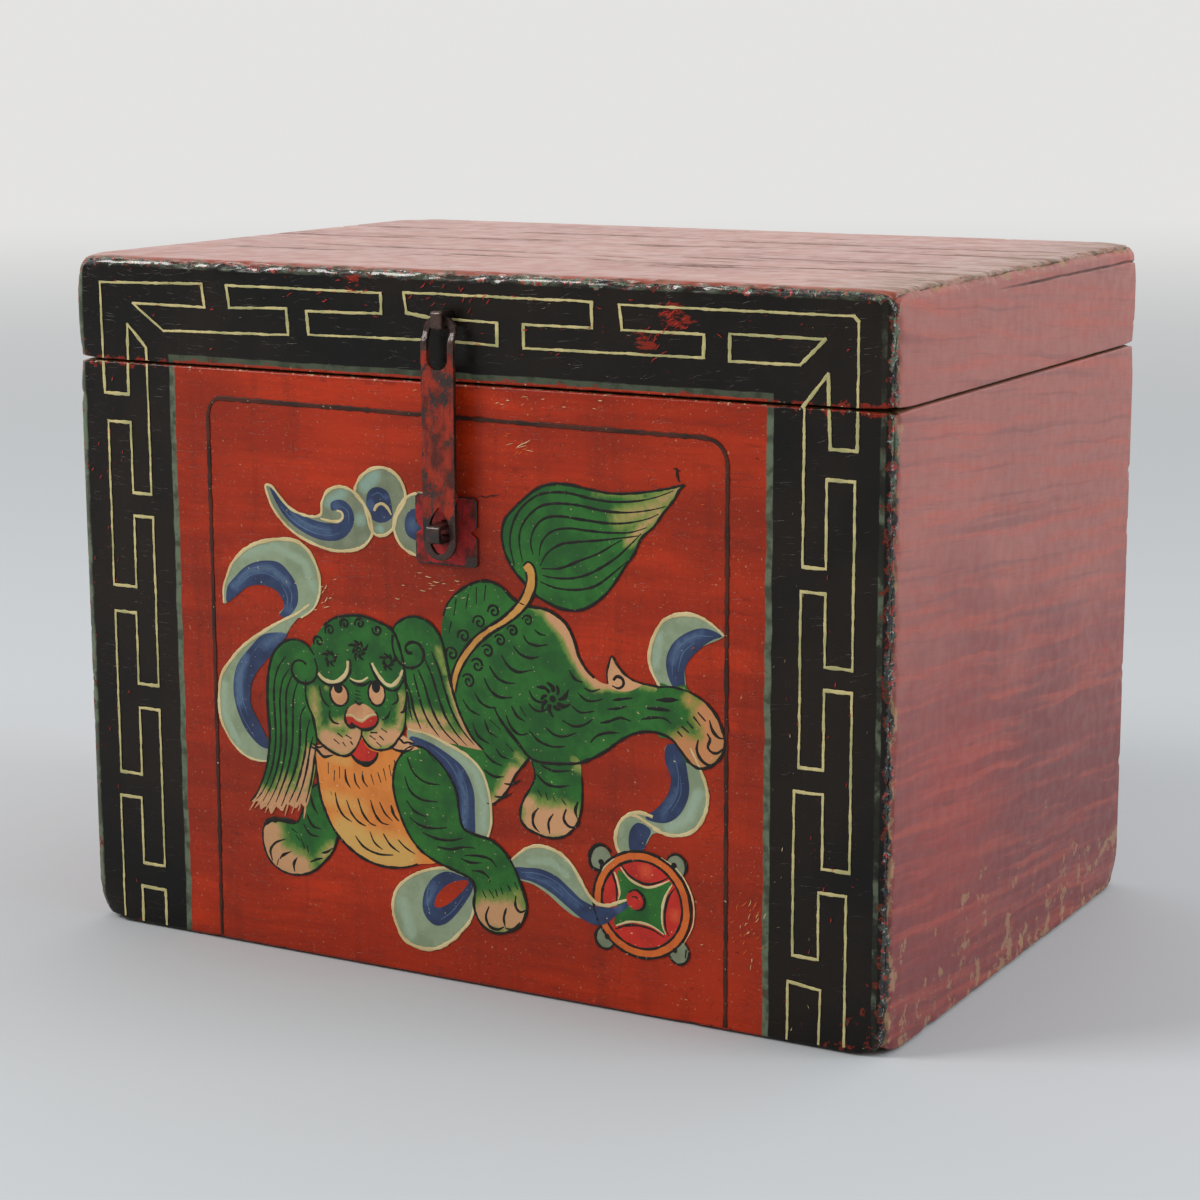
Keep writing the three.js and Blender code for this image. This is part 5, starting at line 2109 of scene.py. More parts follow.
class Figure(FrontWork):
    """The painted guardian lion with its ball, ribbons and cloud, in coats from the ground up."""

    PLUME = path(462.5, 340, 451.7, 337, 438, 334, 425, 332, 411.7, 331, 395, 332.5, 385, 334, 373, 334,
        361.7, 331, 351.7, 324, 341.7, 315, 336, 308, 334, 298, 336.7, 286.7, 343, 276.7, 350, 270, 356,
        264, 366.7, 259, 376.7, 256, 388, 256, 398, 260, 408, 268, 415, 276.7, 421.7, 286.7, 428, 295, 433,
        305, 441.7, 313, 448, 321.7, 455, 330, 459, 336.7)
    BODY = path(290, 243, 294, 252, 302, 260, 312, 266, 322, 268.5, 333, 266, 342, 259, 352, 255.5, 365,
        254.5, 374, 251, 381, 245.5, 386, 236, 389, 227, 394, 219.5, 400, 214.5, 408, 211.5, 420, 213, 433,
        215, 445, 214, 455, 215, 466, 213, 466, 170, 459, 176.7, 455, 181.7, 448, 184.5, 438, 185, 428,
        182.5, 418, 176.7, 408, 169, 398, 163, 388, 158.7, 375, 156.7, 361.7, 156, 353, 157, 349, 153, 343,
        146, 338, 137, 332, 129, 324, 123, 316, 122, 308, 125, 300, 140, 290, 160, 284, 180, 286, 205, 288,
        228)
    FAR_PAW = path(444, 214, 455, 214.7, 466, 213, 476, 208.5, 484, 201, 489, 191, 490.6, 183, 488, 175,
        482, 169, 474, 166, 467, 168.5, 460, 176, 454, 182, 444, 185)
    SPUR = path(409.5, 212, 409, 219, 410.5, 225, 412.5, 229.5, 416, 224.5, 421, 219.5, 427, 216, 434,
        214.5, 425, 209, 415, 208.5)
    SECOND_LEG = path(354, 158, 357, 147, 354, 139, 349, 131, 346, 123, 346.5, 116, 351, 111.5, 358, 109,
        366, 107.5, 374, 108.5, 381, 112, 387, 119, 390, 128, 391, 140, 390.5, 150, 388, 162, 370, 164)
    LEFT_LEG = path(145, 83, 149, 89, 158, 90.5, 171.7, 91, 176.7, 98, 181.7, 110, 186.7, 118, 197, 120,
        204, 108, 207, 95, 205, 85, 201, 75, 194, 67, 186, 60, 177, 56, 167, 54.7, 157, 57, 149, 63, 145,
        73)
    RIGHT_LEG = path(255, 146, 262, 153.5, 272, 155, 282, 149.5, 291, 141, 298, 129, 300, 116, 303, 105.5,
        312, 102, 324, 100, 334, 93.5, 341, 84, 346, 73, 350, 61, 349, 54, 345, 46, 337, 41, 328, 38.5, 320,
        40, 313.5, 46, 310.5, 55, 311.5, 66, 308, 72, 296, 76, 282, 80, 270, 86, 261, 96, 254, 110, 250,
        125, 251, 138)
    CHEST = path(188.5, 140, 190, 127, 192, 113, 197, 100, 203, 90, 212, 81.5, 223, 75, 234, 71.7, 245,
        70.8, 258, 72.5, 268, 76, 282, 79.5, 270, 88, 261, 99, 255, 113, 253, 130, 257, 150, 240, 160, 205,
        150)
    LEFT_MANE = path(183, 186, 190, 196, 190, 207, 184, 213.5, 175, 216, 166, 213.5, 158, 206, 154, 197,
        151.7, 183, 151.5, 165, 152.5, 150, 150.5, 132, 146, 118, 140.5, 107, 135.5, 101, 142, 101.5, 143.5,
        96.5, 149, 99.5, 152, 94.5, 156.5, 100, 161, 97.5, 165, 103, 172, 101, 176, 105, 180.5, 103, 185,
        115, 188.5, 130, 190, 148, 186, 168)
    RIGHT_MANE = path(251, 228, 254, 234, 261.7, 239, 270, 240.5, 280, 237.5, 287, 230, 290.5, 221, 293,
        209, 296, 197, 300, 184.5, 305, 174.5, 311, 165.5, 319, 159, 308, 159, 298, 160, 287, 160.5, 275,
        164, 262, 166, 260.5, 182, 258, 196, 252, 210)
    SKULL = path(183, 176.7, 181.5, 190, 184, 205, 190, 217, 198, 228, 208, 234, 225, 237, 240, 234.5, 252,
        229, 258, 215, 260.5, 200, 261.5, 190, 260.5, 176, 260, 168, 257, 160.5, 252, 154, 246, 150.5, 238,
        149, 231, 151.5, 226, 157, 223, 150.5, 218, 144.5, 212, 141.8, 204, 142.8, 196, 146.5, 190.5, 151,
        189.5, 158, 188.5, 164, 184.5, 171)
    CREST_OUT = path(117.8, 235, 118, 245, 121.7, 255, 126, 263, 136.7, 273, 150, 279, 165, 282, 176.7,
        281.7, 186, 277, 192.5, 268, 195.5, 258, 195, 248, 190, 238, 180, 231)
    CREST_IN = path(163, 231.7, 166.7, 236.7, 165, 242.5, 160, 247.5, 150, 250, 138, 248, 131, 243, 125,
        238.5, 120, 235.5)
    SWEEP_OUT = path(187, 240.5, 176, 233, 165, 227.7, 150, 219, 133, 207.5, 121.7, 195.8, 114, 185, 111.7,
        171.7, 111.7, 161.7, 114, 151.7, 121.7, 140, 131.7, 132.5, 143, 130, 152, 131)
    SWEEP_IN = path(151.7, 141.7, 149, 148, 143, 158, 137.5, 168, 138, 180, 142.5, 190, 151.7, 200, 160,
        209, 168, 219, 173, 226)
    HOOK_OUT = path(489.5, 250, 482, 256, 471.7, 260.5, 460, 260.5, 450, 256.7, 445, 251, 440.5, 241.7,
        438.5, 231.7, 440.5, 223, 446, 214)
    HOOK_IN = path(462.5, 214, 463, 226.7, 467, 234, 475, 242)
    KNEE_OUT = path(467, 178, 474, 165, 478.7, 151.7, 478, 140, 472, 128.5, 463, 122.5, 452, 121, 441,
        123.5)
    TAIL_OUT = path(441, 131, 432, 132.5, 424, 130, 418, 124.5, 415, 116, 415.5, 109, 418.5, 103.5)
    WAVE_OUT = path(338, 88, 344, 93.5, 352, 99, 362, 101, 374, 98.5, 383, 92, 390, 82, 396, 73.5, 402,
        69.3, 410, 69.5, 418, 73, 427, 76.8)
    COMMA = path(154, 316, 158, 305, 165, 296, 175, 288, 187, 282.5, 200, 279, 210, 278, 222, 279.5, 231,
        283.5, 237, 291, 236.5, 300, 233, 308, 227, 315, 219, 319.5, 211, 320, 203, 316.5, 198.5, 309,
        197.5, 301, 190, 299, 180, 300.5, 172, 304, 165, 310.5, 159, 316.5)
    LOBE = path(231, 310, 224.5, 317, 227, 325, 233, 331, 241, 334.5, 249, 334.5, 257, 330.5, 262, 323,
        262.5, 315, 256, 304, 253, 296, 245, 291, 237, 293.5)
    FAR_LOBE = path(254, 303, 257.5, 310, 263, 316.5, 270, 320, 278, 320, 282, 312, 282, 290, 278, 280.5,
        270, 280.5, 262, 283.5, 257, 288.5, 254, 296)
    LOOP = path(300, 77.5, 290, 76.5, 278, 74, 266, 69, 256, 62, 250, 54, 248, 43, 251, 31.7, 257.5, 22.5,
        270, 19, 281.7, 21, 293, 28, 300, 35, 308, 45, 312, 60, 311, 72)
    STEM_OUT = path(349.5, 280.5, 353, 283.5, 357, 281, 358.7, 275, 358, 267, 354, 258, 347, 250, 338, 243,
        327, 236, 317, 228, 308, 217.5, 301.5, 206, 298.5, 194)
    STEM_IN = path(295, 197, 296.5, 206.5, 302, 218, 311, 229.5, 321.5, 238, 333, 245.5, 342, 253.5, 348.5,
        262, 352, 271, 351.5, 277)
    NOSE = path(213.5, 167, 215, 173, 221, 177.8, 228, 178.6, 235, 175.5, 238.8, 170, 237.8, 166, 232, 163,
        226, 162, 221, 163.5, 217, 163)
    TONGUE = path(226, 154.5, 221.5, 149.5, 218.5, 144, 222, 140.5, 228, 139.3, 233.5, 141, 237.5, 147, 233,
        148.2, 229, 150.8)
    LEFT_TUFT = path(186, 144.7, 191, 146.5, 197, 147.4, 200.5, 145, 203, 141.6, 198, 139.5, 193.5, 138.6,
        190.5, 140, 191, 142.7)
    RIGHT_TUFT = path(249, 152, 252.5, 156.8, 256.8, 161, 261, 159.7, 266, 157.4, 262.5, 155.8, 270, 154,
        264, 151.6, 258, 150.4, 253, 150.8)
    BALL = (433.3, 73.3)
    DARK_PRESS = 1.45
    BLUE_SWEEP = path(150, 217, 138, 206.7, 128, 195, 124, 183, 124, 171.7, 126.7, 161.7, 133, 150, 143,
        141, 151, 139)

    COATS = (
        Coat("plume", 0, "green",
            (Patch(PLUME,
                (Veil(path(462, 339, 440, 325, 418, 316), 13, 0.58), Veil(path(445, 322, 424, 302), 7, 0.7),
                    Veil(path(436, 332, 400, 330), 5, 0.4))),)),
        Coat("ribbons_green", 0, "sea",
            (Patch(CREST_OUT + CREST_IN, (Veil(path(132, 268, 160, 277, 184, 268, 190, 252), 5, 0.6),)),
                Patch(SWEEP_OUT + SWEEP_IN, (Veil(path(116, 180, 115, 160, 126, 140), 5, 0.6),)),
                Patch(HOOK_OUT + HOOK_IN, (Veil(path(446, 246, 443, 228), 5, 0.6),)),
                Patch(KNEE_OUT + path(438, 131, 445, 138, 452.5, 148, 454, 158, 450, 168, 451, 178),
                    (Veil(path(472, 150, 466, 134, 452, 125), 6, 0.7),)),
                Patch(TAIL_OUT + path(430, 106, 436, 112, 441, 120, 450, 123)),
                Patch(LOOP, (Veil(path(256, 48, 262, 28), 8, 0.6),)),
                Patch(WAVE_OUT[:9] + path(402, 60, 388, 58, 378, 62, 366, 70, 355, 75, 341, 78),
                    (Veil(path(352, 90, 368, 92, 380, 84), 5, 0.5),)))),
        Coat("cloud", 0, "grey_green",
            (Patch(COMMA, (Veil(path(204, 309, 215, 316), 6, 0.8), Veil(path(228, 300), 8, 0.7))),
                Patch(LOBE, (Veil(path(232, 322, 240, 329), 8, 0.9), Veil(path(243, 295), 6, 0.8))),
                Patch(FAR_LOBE))),
        Coat("ribbons_blue", 1.2, "blue",
            (
                Patch(
                    path(120, 236, 121, 246, 128, 254, 136.7, 261.5, 148, 266, 161.7, 266.7, 170, 261.7,
                        176.7, 253, 178, 243, 175, 236, 168, 230, 163, 231.7, 166.7, 236.7, 165, 242.5, 160,
                        247.5, 150, 250, 138, 248, 131, 243, 125, 238.5),
                    (Veil(path(126, 247, 140, 259, 156, 262, 170, 253), 5, 0.8),
                        Veil(path(170, 236), 7, 0.6))),
                Patch(BLUE_SWEEP + SWEEP_IN[:9],
                    (Veil(path(134, 200, 128, 184, 128, 168), 6, 0.9),
                        Veil(path(150, 210, 165, 219), 7, 0.7))),
                Patch(
                    path(488, 250, 478, 253.5, 468, 251.5, 457, 244.5, 451, 235, 450.5, 225, 455, 215,
                        462.5, 214, 463, 226.7, 467, 234, 475, 242, 482, 247),
                    (Veil(path(474, 250, 460, 243, 454, 230), 4.5, 0.8),)),
                Patch(
                    path(451, 178, 449.5, 168, 453.5, 158, 452, 148, 445, 138, 436, 130, 444, 127.8, 453,
                        129.5, 461, 136.5, 466, 148, 465.5, 160, 461, 177),
                    (Veil(path(457, 150, 448, 134), 5, 0.5),)),
                Patch(path(431, 126, 425.5, 121, 424, 113, 426, 106, 433, 107, 437, 115, 439.5, 122.5)),
                Patch(
                    path(301, 73, 290, 74.2, 280, 69, 273, 59, 271, 48, 274, 40.5, 281, 36.5, 289, 39, 297,
                        46.5, 305, 57, 309.5, 65, 309, 70),
                    (Veil(path(280, 64, 275, 50), 4, 0.7),)),
                Patch(
                    path(341, 84, 351, 85.5, 361, 86, 372, 83, 381, 77, 390, 70.5, 400, 66.5, 404, 61, 403,
                        55.3, 392, 57, 380, 64, 368, 71.5, 355, 76.5, 342, 78),
                    (Veil(path(350, 81, 370, 77, 388, 66), 4, 0.5),)))),
        Coat("cloud_blue", 1.2, "blue",
            (
                Patch(
                    path(157.5, 315.5, 163, 305, 170, 296.5, 180, 289.7, 192, 285.2, 203, 284, 213, 286,
                        220, 291.5, 223.3, 299, 222, 306, 217, 310.8, 211, 311.7, 205.5, 309, 206, 304.3,
                        210.5, 304.8, 215, 303, 214.5, 299, 211, 296.5, 203, 295.7, 194, 296.5, 184, 299,
                        175, 303, 167, 309, 161.5, 315.5),
                    (Veil(path(176, 297, 190, 291, 204, 290), 4, 0.7), Veil(path(210, 308), 6, 0.8))),
                Patch(
                    path(233, 309, 234, 317.5, 238.5, 321.5, 244, 322, 249.5, 319.5, 252, 313, 253, 305,
                        251, 302, 246, 299.5, 240, 299.7, 235.5, 303),
                    (Veil(path(236, 310), 6, 0.8), Veil(path(248, 316), 5, 0.5))),
                Patch(path(264, 293, 262, 300, 264.5, 307.5, 270, 310.5, 279, 309, 279, 291, 271, 290),
                    (Veil(path(268, 300), 8, 0.8),)))),
        Coat("loop_gap", 2.4, "front",
            (Patch(path(304, 70.5, 294, 67.5, 285.5, 61, 281, 54, 281, 49, 287.5, 50.3, 295, 56, 302, 63,
                306.5, 69)),)),
        Coat("body", 2.4, "green",
            (
                Patch(BODY,
                    (Veil(path(370, 251, 381, 241, 387, 229, 394, 219, 402, 212), 10, 1.0),
                        Veil(path(404, 211, 420, 212), 7, 0.9), Veil(path(432, 214, 462, 213), 4, 0.7),
                        Veil(path(333, 131, 342, 146), 11, 1.0), Veil(path(349, 154, 344, 158), 5, 0.6),
                        Veil(path(312, 120, 326, 124), 11, 0.9), Veil(path(356, 256, 366, 252), 5, 0.6))),
                Patch(SECOND_LEG,
                    (Veil(path(358, 117, 380, 119), 22, 1.0), Veil(path(352, 128), 12, 0.9),
                        Veil(path(389, 155, 386, 160), 6, 0.6))),
                Patch(LEFT_LEG,
                    (Veil(path(150, 82, 152, 66, 174, 60), 20, 1.0),
                        Veil(path(193, 70, 200, 78), 9, 0.6))))),
        Coat("far_paw", 3.0, "hot_paw",
            (Patch(FAR_PAW,
                (Veil(path(478, 201, 486, 186, 476, 173, 462, 178), 17, 1.0),
                    Veil(path(466, 208), 9, 0.7))),)),
        Coat("spur", 3.2, "tan", (Patch(SPUR),)),
        Coat("ball_ring", 3.0, "orange", (Patch(circle(*BALL, 33.8, 1.0, 20)),)),
        Coat("ball_red", 4.2, "scarlet",
            (Patch(circle(*BALL, 28.6, 1.0, 20),
                (Veil(path(436, 96), 9, 0.6), Veil(path(457, 70), 8, 0.6))),)),
        Coat("knobs", 1.8, "grey_green",
            (Patch(circle(404.5, 98.5, 8.5, 0.86)), Patch(circle(457.5, 101.7, 7.6, 0.92)),
                Patch(circle(407, 48, 7.2, 0.95)), Patch(circle(459.5, 46.5, 7.8, 0.9)))),
        Coat("ball_green", 5.2, "green",
            (Patch(path(416.5, 93.5, 417.7, 84, 416.5, 72, 414, 57.5, 423, 60.5, 432, 61.5, 441, 60.5,
                449.5, 56.5, 448.5, 65, 448.3, 74, 451, 83, 454, 91, 446, 88, 437, 85.3, 428, 87.5)),)),
        Coat("ribbon_mid_green", 3.6, "sea",
            (Patch(
                path(262, 166, 278, 164, 291.7, 159.5, 306.7, 153.5, 317.5, 144.5, 322.5, 132, 324, 122,
                    324, 110, 321, 99, 312, 97, 300, 98, 292, 112, 290, 128, 282, 142, 272, 149, 264, 152),
                (Veil(path(296, 155, 313, 143, 319, 124, 318, 106), 5, 0.7),)),)),
        Coat("ribbon_mid_blue", 4.6, "blue",
            (Patch(
                path(264, 161, 278, 159, 292, 153, 304, 145, 311, 132, 312, 118, 311, 99, 300, 98, 292, 112,
                    290, 128, 282, 142, 272, 149, 264, 152),
                (Veil(path(300, 141, 305, 124, 304, 106), 4, 0.8),)),)),
        Coat("chest", 4.8, "ochre",
            (Patch(CHEST,
                (Veil(path(212, 90, 230, 82, 256, 80), 22, 1.0), Veil(path(200, 112, 224, 108), 12, 0.6),
                    Veil(path(200, 140, 215, 138), 7, 0.6))),)),
        Coat("right_leg", 5.8, "green",
            (Patch(RIGHT_LEG, (Veil(path(320, 50, 340, 52), 21, 1.0), Veil(path(344, 66), 9, 0.6))),)),
        Coat("mane", 6.6, "green",
            (
                Patch(LEFT_MANE,
                    (Veil(path(140, 101, 158, 100, 178, 106), 20, 1.0),
                        Veil(path(178, 118, 186, 140), 11, 0.9), Veil(path(164, 118, 158, 108), 12, 0.7),
                        Veil(path(146, 110), 8, 0.7))),
                Patch(RIGHT_MANE,
                    (Veil(path(266, 166, 290, 163, 312, 160), 12, 1.0),
                        Veil(path(296, 200, 304, 176, 315, 161), 7, 1.0),
                        Veil(path(270, 176, 290, 174), 10, 0.7),
                        Veil(path(286, 222, 291, 206), 5, 0.5))))),
        Coat("face", 7.4, "green",
            (Patch(SKULL,
                (Veil(path(198, 152, 212, 148, 222, 156), 13, 1.0), Veil(path(236, 156, 252, 160), 12, 1.0),
                    Veil(path(256, 168, 258.5, 188), 6, 0.7), Veil(path(190, 162, 189, 182), 8, 0.62),
                    Veil(path(204, 162, 222, 166, 240, 166), 7, 0.7), Veil(path(199, 186), 4, 0.5))),)),
        Coat("tufts_and_eyes", 8.2, "tan",
            (Patch(LEFT_TUFT), Patch(RIGHT_TUFT), Patch(circle(209, 182.7, 7.4, 0.95)),
                Patch(circle(238.4, 186.8, 8, 0.8)), Patch(NOSE))),
        Coat("tongue", 9.6, "scarlet",
            (Patch(TONGUE),
                Patch(path(213.8, 168, 219, 168.6, 222.5, 166.5, 227, 166, 231, 169, 235, 171, 238.6, 171.3,
                    237.8, 166, 232, 163, 226, 162, 221, 163.5, 217, 163)),
                Patch(circle(428.7, 76, 6.4, 0.95)))),
        Coat("pupils", 10.0, "line",
            (Patch(circle(208.5, 187, 3.5, 1.0, 8)), Patch(circle(238, 191.3, 4.3, 0.76, 8)),
                Patch(circle(456, 102, 1.9, 1.0, 6)), Patch(circle(404.5, 97, 1.9, 1.0, 6)),
                Patch(circle(370, 198, 2.1, 1.0, 6)), Patch(circle(408.7, 49, 1.8, 1.0, 6)),
                Patch(circle(456.8, 47.5, 1.8, 0.9, 6)))),
        Coat("tail_stem", 5.0, "stem", (Patch(STEM_OUT + STEM_IN),)),
        Coat("ribbon_end", 7.4, "blue",
            (Patch(
                path(400, 67, 405, 67.5, 413, 68.5, 420, 72, 426, 75.5, 422, 69, 416, 64.5, 409, 58, 403,
                    55.5, 398, 56.5),
                (Veil(path(417, 69), 7, 0.6),)),)))

    CURLS = (spiral(202.7, 225, 4.0, 215, -1.35), spiral(214.6, 230.4, 3.8, 215, -1.3),
        spiral(226.3, 231.6, 3.9, 200, -1.3), spiral(239.6, 229, 4.0, 160, 1.35),
        spiral(193.6, 216.6, 4.2, 215, -1.3))
    RUMP_CURLS = (
        spiral(327.8, 249.5, 4.6, 190, -1.4), spiral(317, 241.5, 4.9, 190, -1.4),
        spiral(305.3, 231.3, 4.8, 200, -1.4), spiral(296.2, 218.8, 5.0, 200, -1.4),
        spiral(352.3, 246, 3.9, 170, -1.4), spiral(341.3, 238.3, 4.1, 170, -1.4),
        spiral(332, 231.3, 4.3, 160, -1.4), spiral(322.6, 223.4, 4.6, 150, -1.4),
        spiral(315, 213.3, 4.9, 150, -1.4), spiral(308.3, 202.5, 5.0, 150, -1.4),
    )
    MANE_TIPS = ((145, 140, 134), (148, 144, 138.5), (151, 148, 143), (155, 151, 147), (159, 156, 151.5),
        (163, 160.5, 157), (168, 166, 163), (172, 171, 168.5), (176, 175.5, 174), (180, 180, 178.5))

    LINES = (
        Lines("plume_lines", 1.4, "line",
            (outline(PLUME, 1.35),
                *lines(1.2,
                    (343, 280, 340, 293, 341, 303, 346.7, 315, 356.7, 324, 366.7, 328, 381.7, 329, 398,
                        326.7, 415, 326, 431.7, 328, 445, 331.7, 455, 336),
                    (349, 283, 346.7, 296.7, 350, 308, 360, 318, 371.7, 321.7, 388, 322, 405, 320, 421.7,
                        320, 438, 322.5, 450, 326),
                    (356.7, 288, 355, 296.7, 359, 306.7, 366.7, 312.5, 378, 314, 395, 313, 411.7, 312.5,
                        425, 314, 438, 317.5, 445, 321),
                    (361, 288, 363, 296.7, 370, 304, 381.7, 307, 395, 306.7, 411.7, 306.7, 425, 308, 437,
                        312),
                    (361.7, 281.7, 366.7, 290, 376.7, 296.7, 388, 299, 401.7, 301, 422.5, 304.7, 431,
                        306.5),
                    (363, 280, 376.7, 281.7, 390, 287.5, 403, 293, 413, 299, 420, 303),
                    (363, 276, 373, 275, 388, 276.7, 401.7, 282.5, 415, 291, 425, 300, 433, 308),
                    (361.7, 271.7, 373, 268.7, 388, 269, 401.7, 273, 415, 283, 426.7, 293),
                    (459, 341.5, 457.6, 345, 457.2, 350), (455, 349.5, 459.5, 348)))),
        Lines("blue_lights", 2.9, "pale_blue",
            (*lines(0.9, (126, 246, 133, 255, 145, 261.5, 158, 262.5, 168, 257),
                (131, 248, 140, 255.5, 152, 258, 163, 254.5), (168, 255, 173, 246, 172, 238),
                (165, 252, 169.5, 244, 169, 236), (130, 198, 127, 186, 127.5, 170, 131, 158, 140, 146),
                (137, 202, 131.5, 188, 131, 172, 135, 160), (146, 210, 136, 198), (164, 220, 150, 209),
                (482, 249, 471, 248, 461, 242, 455, 232, 454.5, 222), (470, 244, 462, 237, 458.5, 226),
                (456, 172, 459, 158, 456.5, 144, 448, 133.5), (460, 160, 460.5, 148, 454, 136),
                (277, 66, 274.5, 54, 277, 43), (285, 41, 295, 49, 303, 60),
                (346, 82, 360, 82.5, 372, 79, 382, 72, 392, 66), (350, 79.5, 364, 77.5, 376, 71),
                (166, 304, 176, 295, 190, 289, 203, 287.5, 212, 290),
                (173, 301, 184, 295, 196, 291.7, 206, 291.5), (219, 297, 219, 304, 213, 308),
                (237, 316, 243, 318.5, 248.5, 314)),)),
        Lines("ribbon_edges", 2.9, "cream",
            (Stroke(CREST_OUT, 2.6, 0.5, 0.5), Stroke(SWEEP_OUT, 2.4, 0.7, 0.6),
                Stroke(HOOK_OUT, 2.7, 0.5, 0.7), Stroke(KNEE_OUT, 2.5, 0.6, 0.8),
                Stroke(TAIL_OUT, 2.8, 0.7, 0.8),
                Stroke(path(424, 130.5, 431, 129.5, 438, 126, 446, 122.8), 2.4, 0.7, 0.7),
                outline(LOOP, 2.5), Stroke(WAVE_OUT[:9], 2.5, 0.6, 0.9), outline(COMMA, 2.2),
                outline(LOBE, 2.5), outline(FAR_LOBE, 2.3),
                Stroke(path(197, 298.3, 205, 297.2, 211.5, 297.6, 214.7, 300.5, 213.5, 303.7, 210, 304.3),
                    2.0, 0.5, 0.6),
                Stroke(path(239, 306.5, 241, 310, 245, 311.6, 249, 309.5, 252, 305), 2.3, 0.7, 0.4))),
        Lines("hind_lines", 3.3, "line",
            (Stroke(BODY[:15], 1.5, 0.7, 0.7), Stroke(BODY[22:39], 1.5, 0.7, 0.7), outline(LEFT_LEG, 1.3),
                Stroke(SECOND_LEG[:15], 1.3, 0.6, 0.6), Stroke(SPUR[:8], 1.3, 0.8, 0.6),
                Stroke(path(434, 214.5, 445, 214, 455, 214.7, 466, 213), 1.3, 0.6, 0.6))),
        Lines("body_lines", 4.1, "line",
            (Stroke(FAR_PAW[2:], 1.4, 0.7, 0.7),
                Stroke(path(146, 86, 151, 90, 161, 91.5, 171, 91.5), 2.6, 0.6, 0.4),
                Stroke(path(327, 188, 331, 181, 337, 174, 344, 167, 350, 160.5, 355, 156.5), 1.6, 0.5, 0.8),
                Stroke(path(413.5, 214.5, 416, 217.3, 420, 216, 420.5, 212.3, 417, 209.8, 412.5, 211), 1.6,
                    1.0, 0.5),
                *(Stroke(run, 1.15, 0.8, 1.0) for run in RUMP_CURLS),
                *lines(1.25, (349, 236.5, 352.5, 232, 360, 230.8, 367, 232.5),
                    (357, 241, 361, 238.5, 366, 238), (341.5, 229, 347, 224, 354, 222.5, 361, 224),
                    (333, 222, 338, 215.5, 345, 212.5, 356, 215),
                    (324, 214, 329, 207.5, 336, 204.7, 343, 205),
                    (320, 206, 324, 199, 331, 194.7, 341, 195.5),
                    (313, 195.5, 317, 190, 323, 187.3, 329, 187.5), (304, 190, 309, 184, 317, 181),
                    (353, 201.5, 356, 196.5, 361, 194.8, 366, 196),
                    (352.5, 193, 357, 189.3, 362, 189, 366, 191), (340, 190, 344, 184, 350, 181),
                    (336, 183.5, 340, 175.5, 346, 172, 352, 173.5),
                    (365, 179, 371, 175, 378, 174.7, 387, 178),
                    (377, 185, 385, 182.2, 393, 184, 399, 188.5),
                    (353, 175.5, 360, 169.5, 370, 167.2, 379, 168.5),
                    (388, 204, 394, 199.8, 400, 200, 406, 202), (382, 218, 386, 212.5, 392, 211),
                    (384, 195, 390, 191.5, 400, 193.5), (393, 207.5, 398, 206, 404, 208),
                    (320, 179, 323, 171.5, 330, 168), (324, 179, 332, 173.5),
                    (311, 176, 315, 167.5, 323, 163.5), (328, 161, 332, 156.5, 338, 155),
                    (319, 158, 325, 152.5, 333, 150), (336, 165, 341, 160.5),
                    (319, 146, 326, 142.5, 334, 143), (334, 138.5, 340, 139, 346, 142.5),
                    (327, 129.5, 333, 129.5, 340, 133), (321, 124, 328, 123.5),
                    (397, 173, 402, 178, 410, 181, 418, 181.5),
                    (404, 186.5, 410, 188, 418, 191.3, 426, 190), (409, 196, 416, 197, 424, 199.7),
                    (433, 192, 440, 194, 449, 194.5, 454, 191.5)),
                *lines(1.5, (309, 259, 307, 249), (315, 264, 315, 253), (322, 266, 320.7, 255.5),
                    (300, 255, 298, 244), (346, 190.5, 350.5, 184.5), (413, 202, 419, 203.3, 427, 205),
                    (296, 240, 294, 232)),
                *lines(2.0, (437, 199.5, 445, 200, 453, 200), (443.5, 205.5, 452, 206.5, 459, 207.3),
                    (458, 187.5, 461.5, 184.5), (461, 191, 466, 187.5), (464.5, 194.5, 469, 190.5),
                    (469, 198, 474, 192.7), (472, 201, 477.5, 196)),
                *lines(1.4, (480, 197, 482, 191, 486, 187, 490.5, 186.5),
                    (478.5, 188.5, 480.5, 185, 479, 180, 482, 177, 486, 177.3, 490, 181),
                    (472.5, 184, 471.5, 177, 475, 171, 481, 168.8, 486, 173),
                    (359.5, 126, 355.5, 121, 355.5, 114.5, 360, 110),
                    (370, 123.5, 366.5, 117.5, 367.5, 110), (388, 134, 386, 128, 388, 122),
                    (379.5, 128, 377.5, 121.5, 381, 117, 386, 117, 389.5, 121), (359, 137.5, 361.5, 133.5),
                    (364.5, 136.5, 366, 132), (370, 135, 371.5, 131.5), (375.5, 134.5, 379.5, 130.5),
                    (358, 148, 364, 143, 372, 141.5, 382, 143.5), (361, 154.5, 370, 151.5, 382, 153),
                    (152, 62, 150.5, 69, 155, 75, 163, 78.5), (158, 64, 161, 67.3, 167.5, 70.5),
                    (155.5, 59, 157, 64), (170, 57, 169.5, 62.5, 172.5, 67),
                    (183, 65.5, 188, 68, 193, 69.5), (192.5, 73, 197, 74.5, 201, 77.5),
                    (168, 86.5, 173, 84), (171.5, 82.5, 175.5, 78.5), (176, 80.5, 178.5, 74),
                    (180.5, 76.5, 181.5, 71.5), (184, 113, 186, 105, 190, 99),
                    (181, 98, 185, 91, 192, 89.5), (178, 91, 183, 85, 190, 84)),
                *rosette(370, 198, 4.4, 13.5, 9, 1.8))),
        Lines("ball_lines", 6.4, "line",
            (outline(circle(*BALL, 34.4, 1.0, 20), 1.3), outline(circle(*BALL, 28.4, 1.0, 20), 1.2),
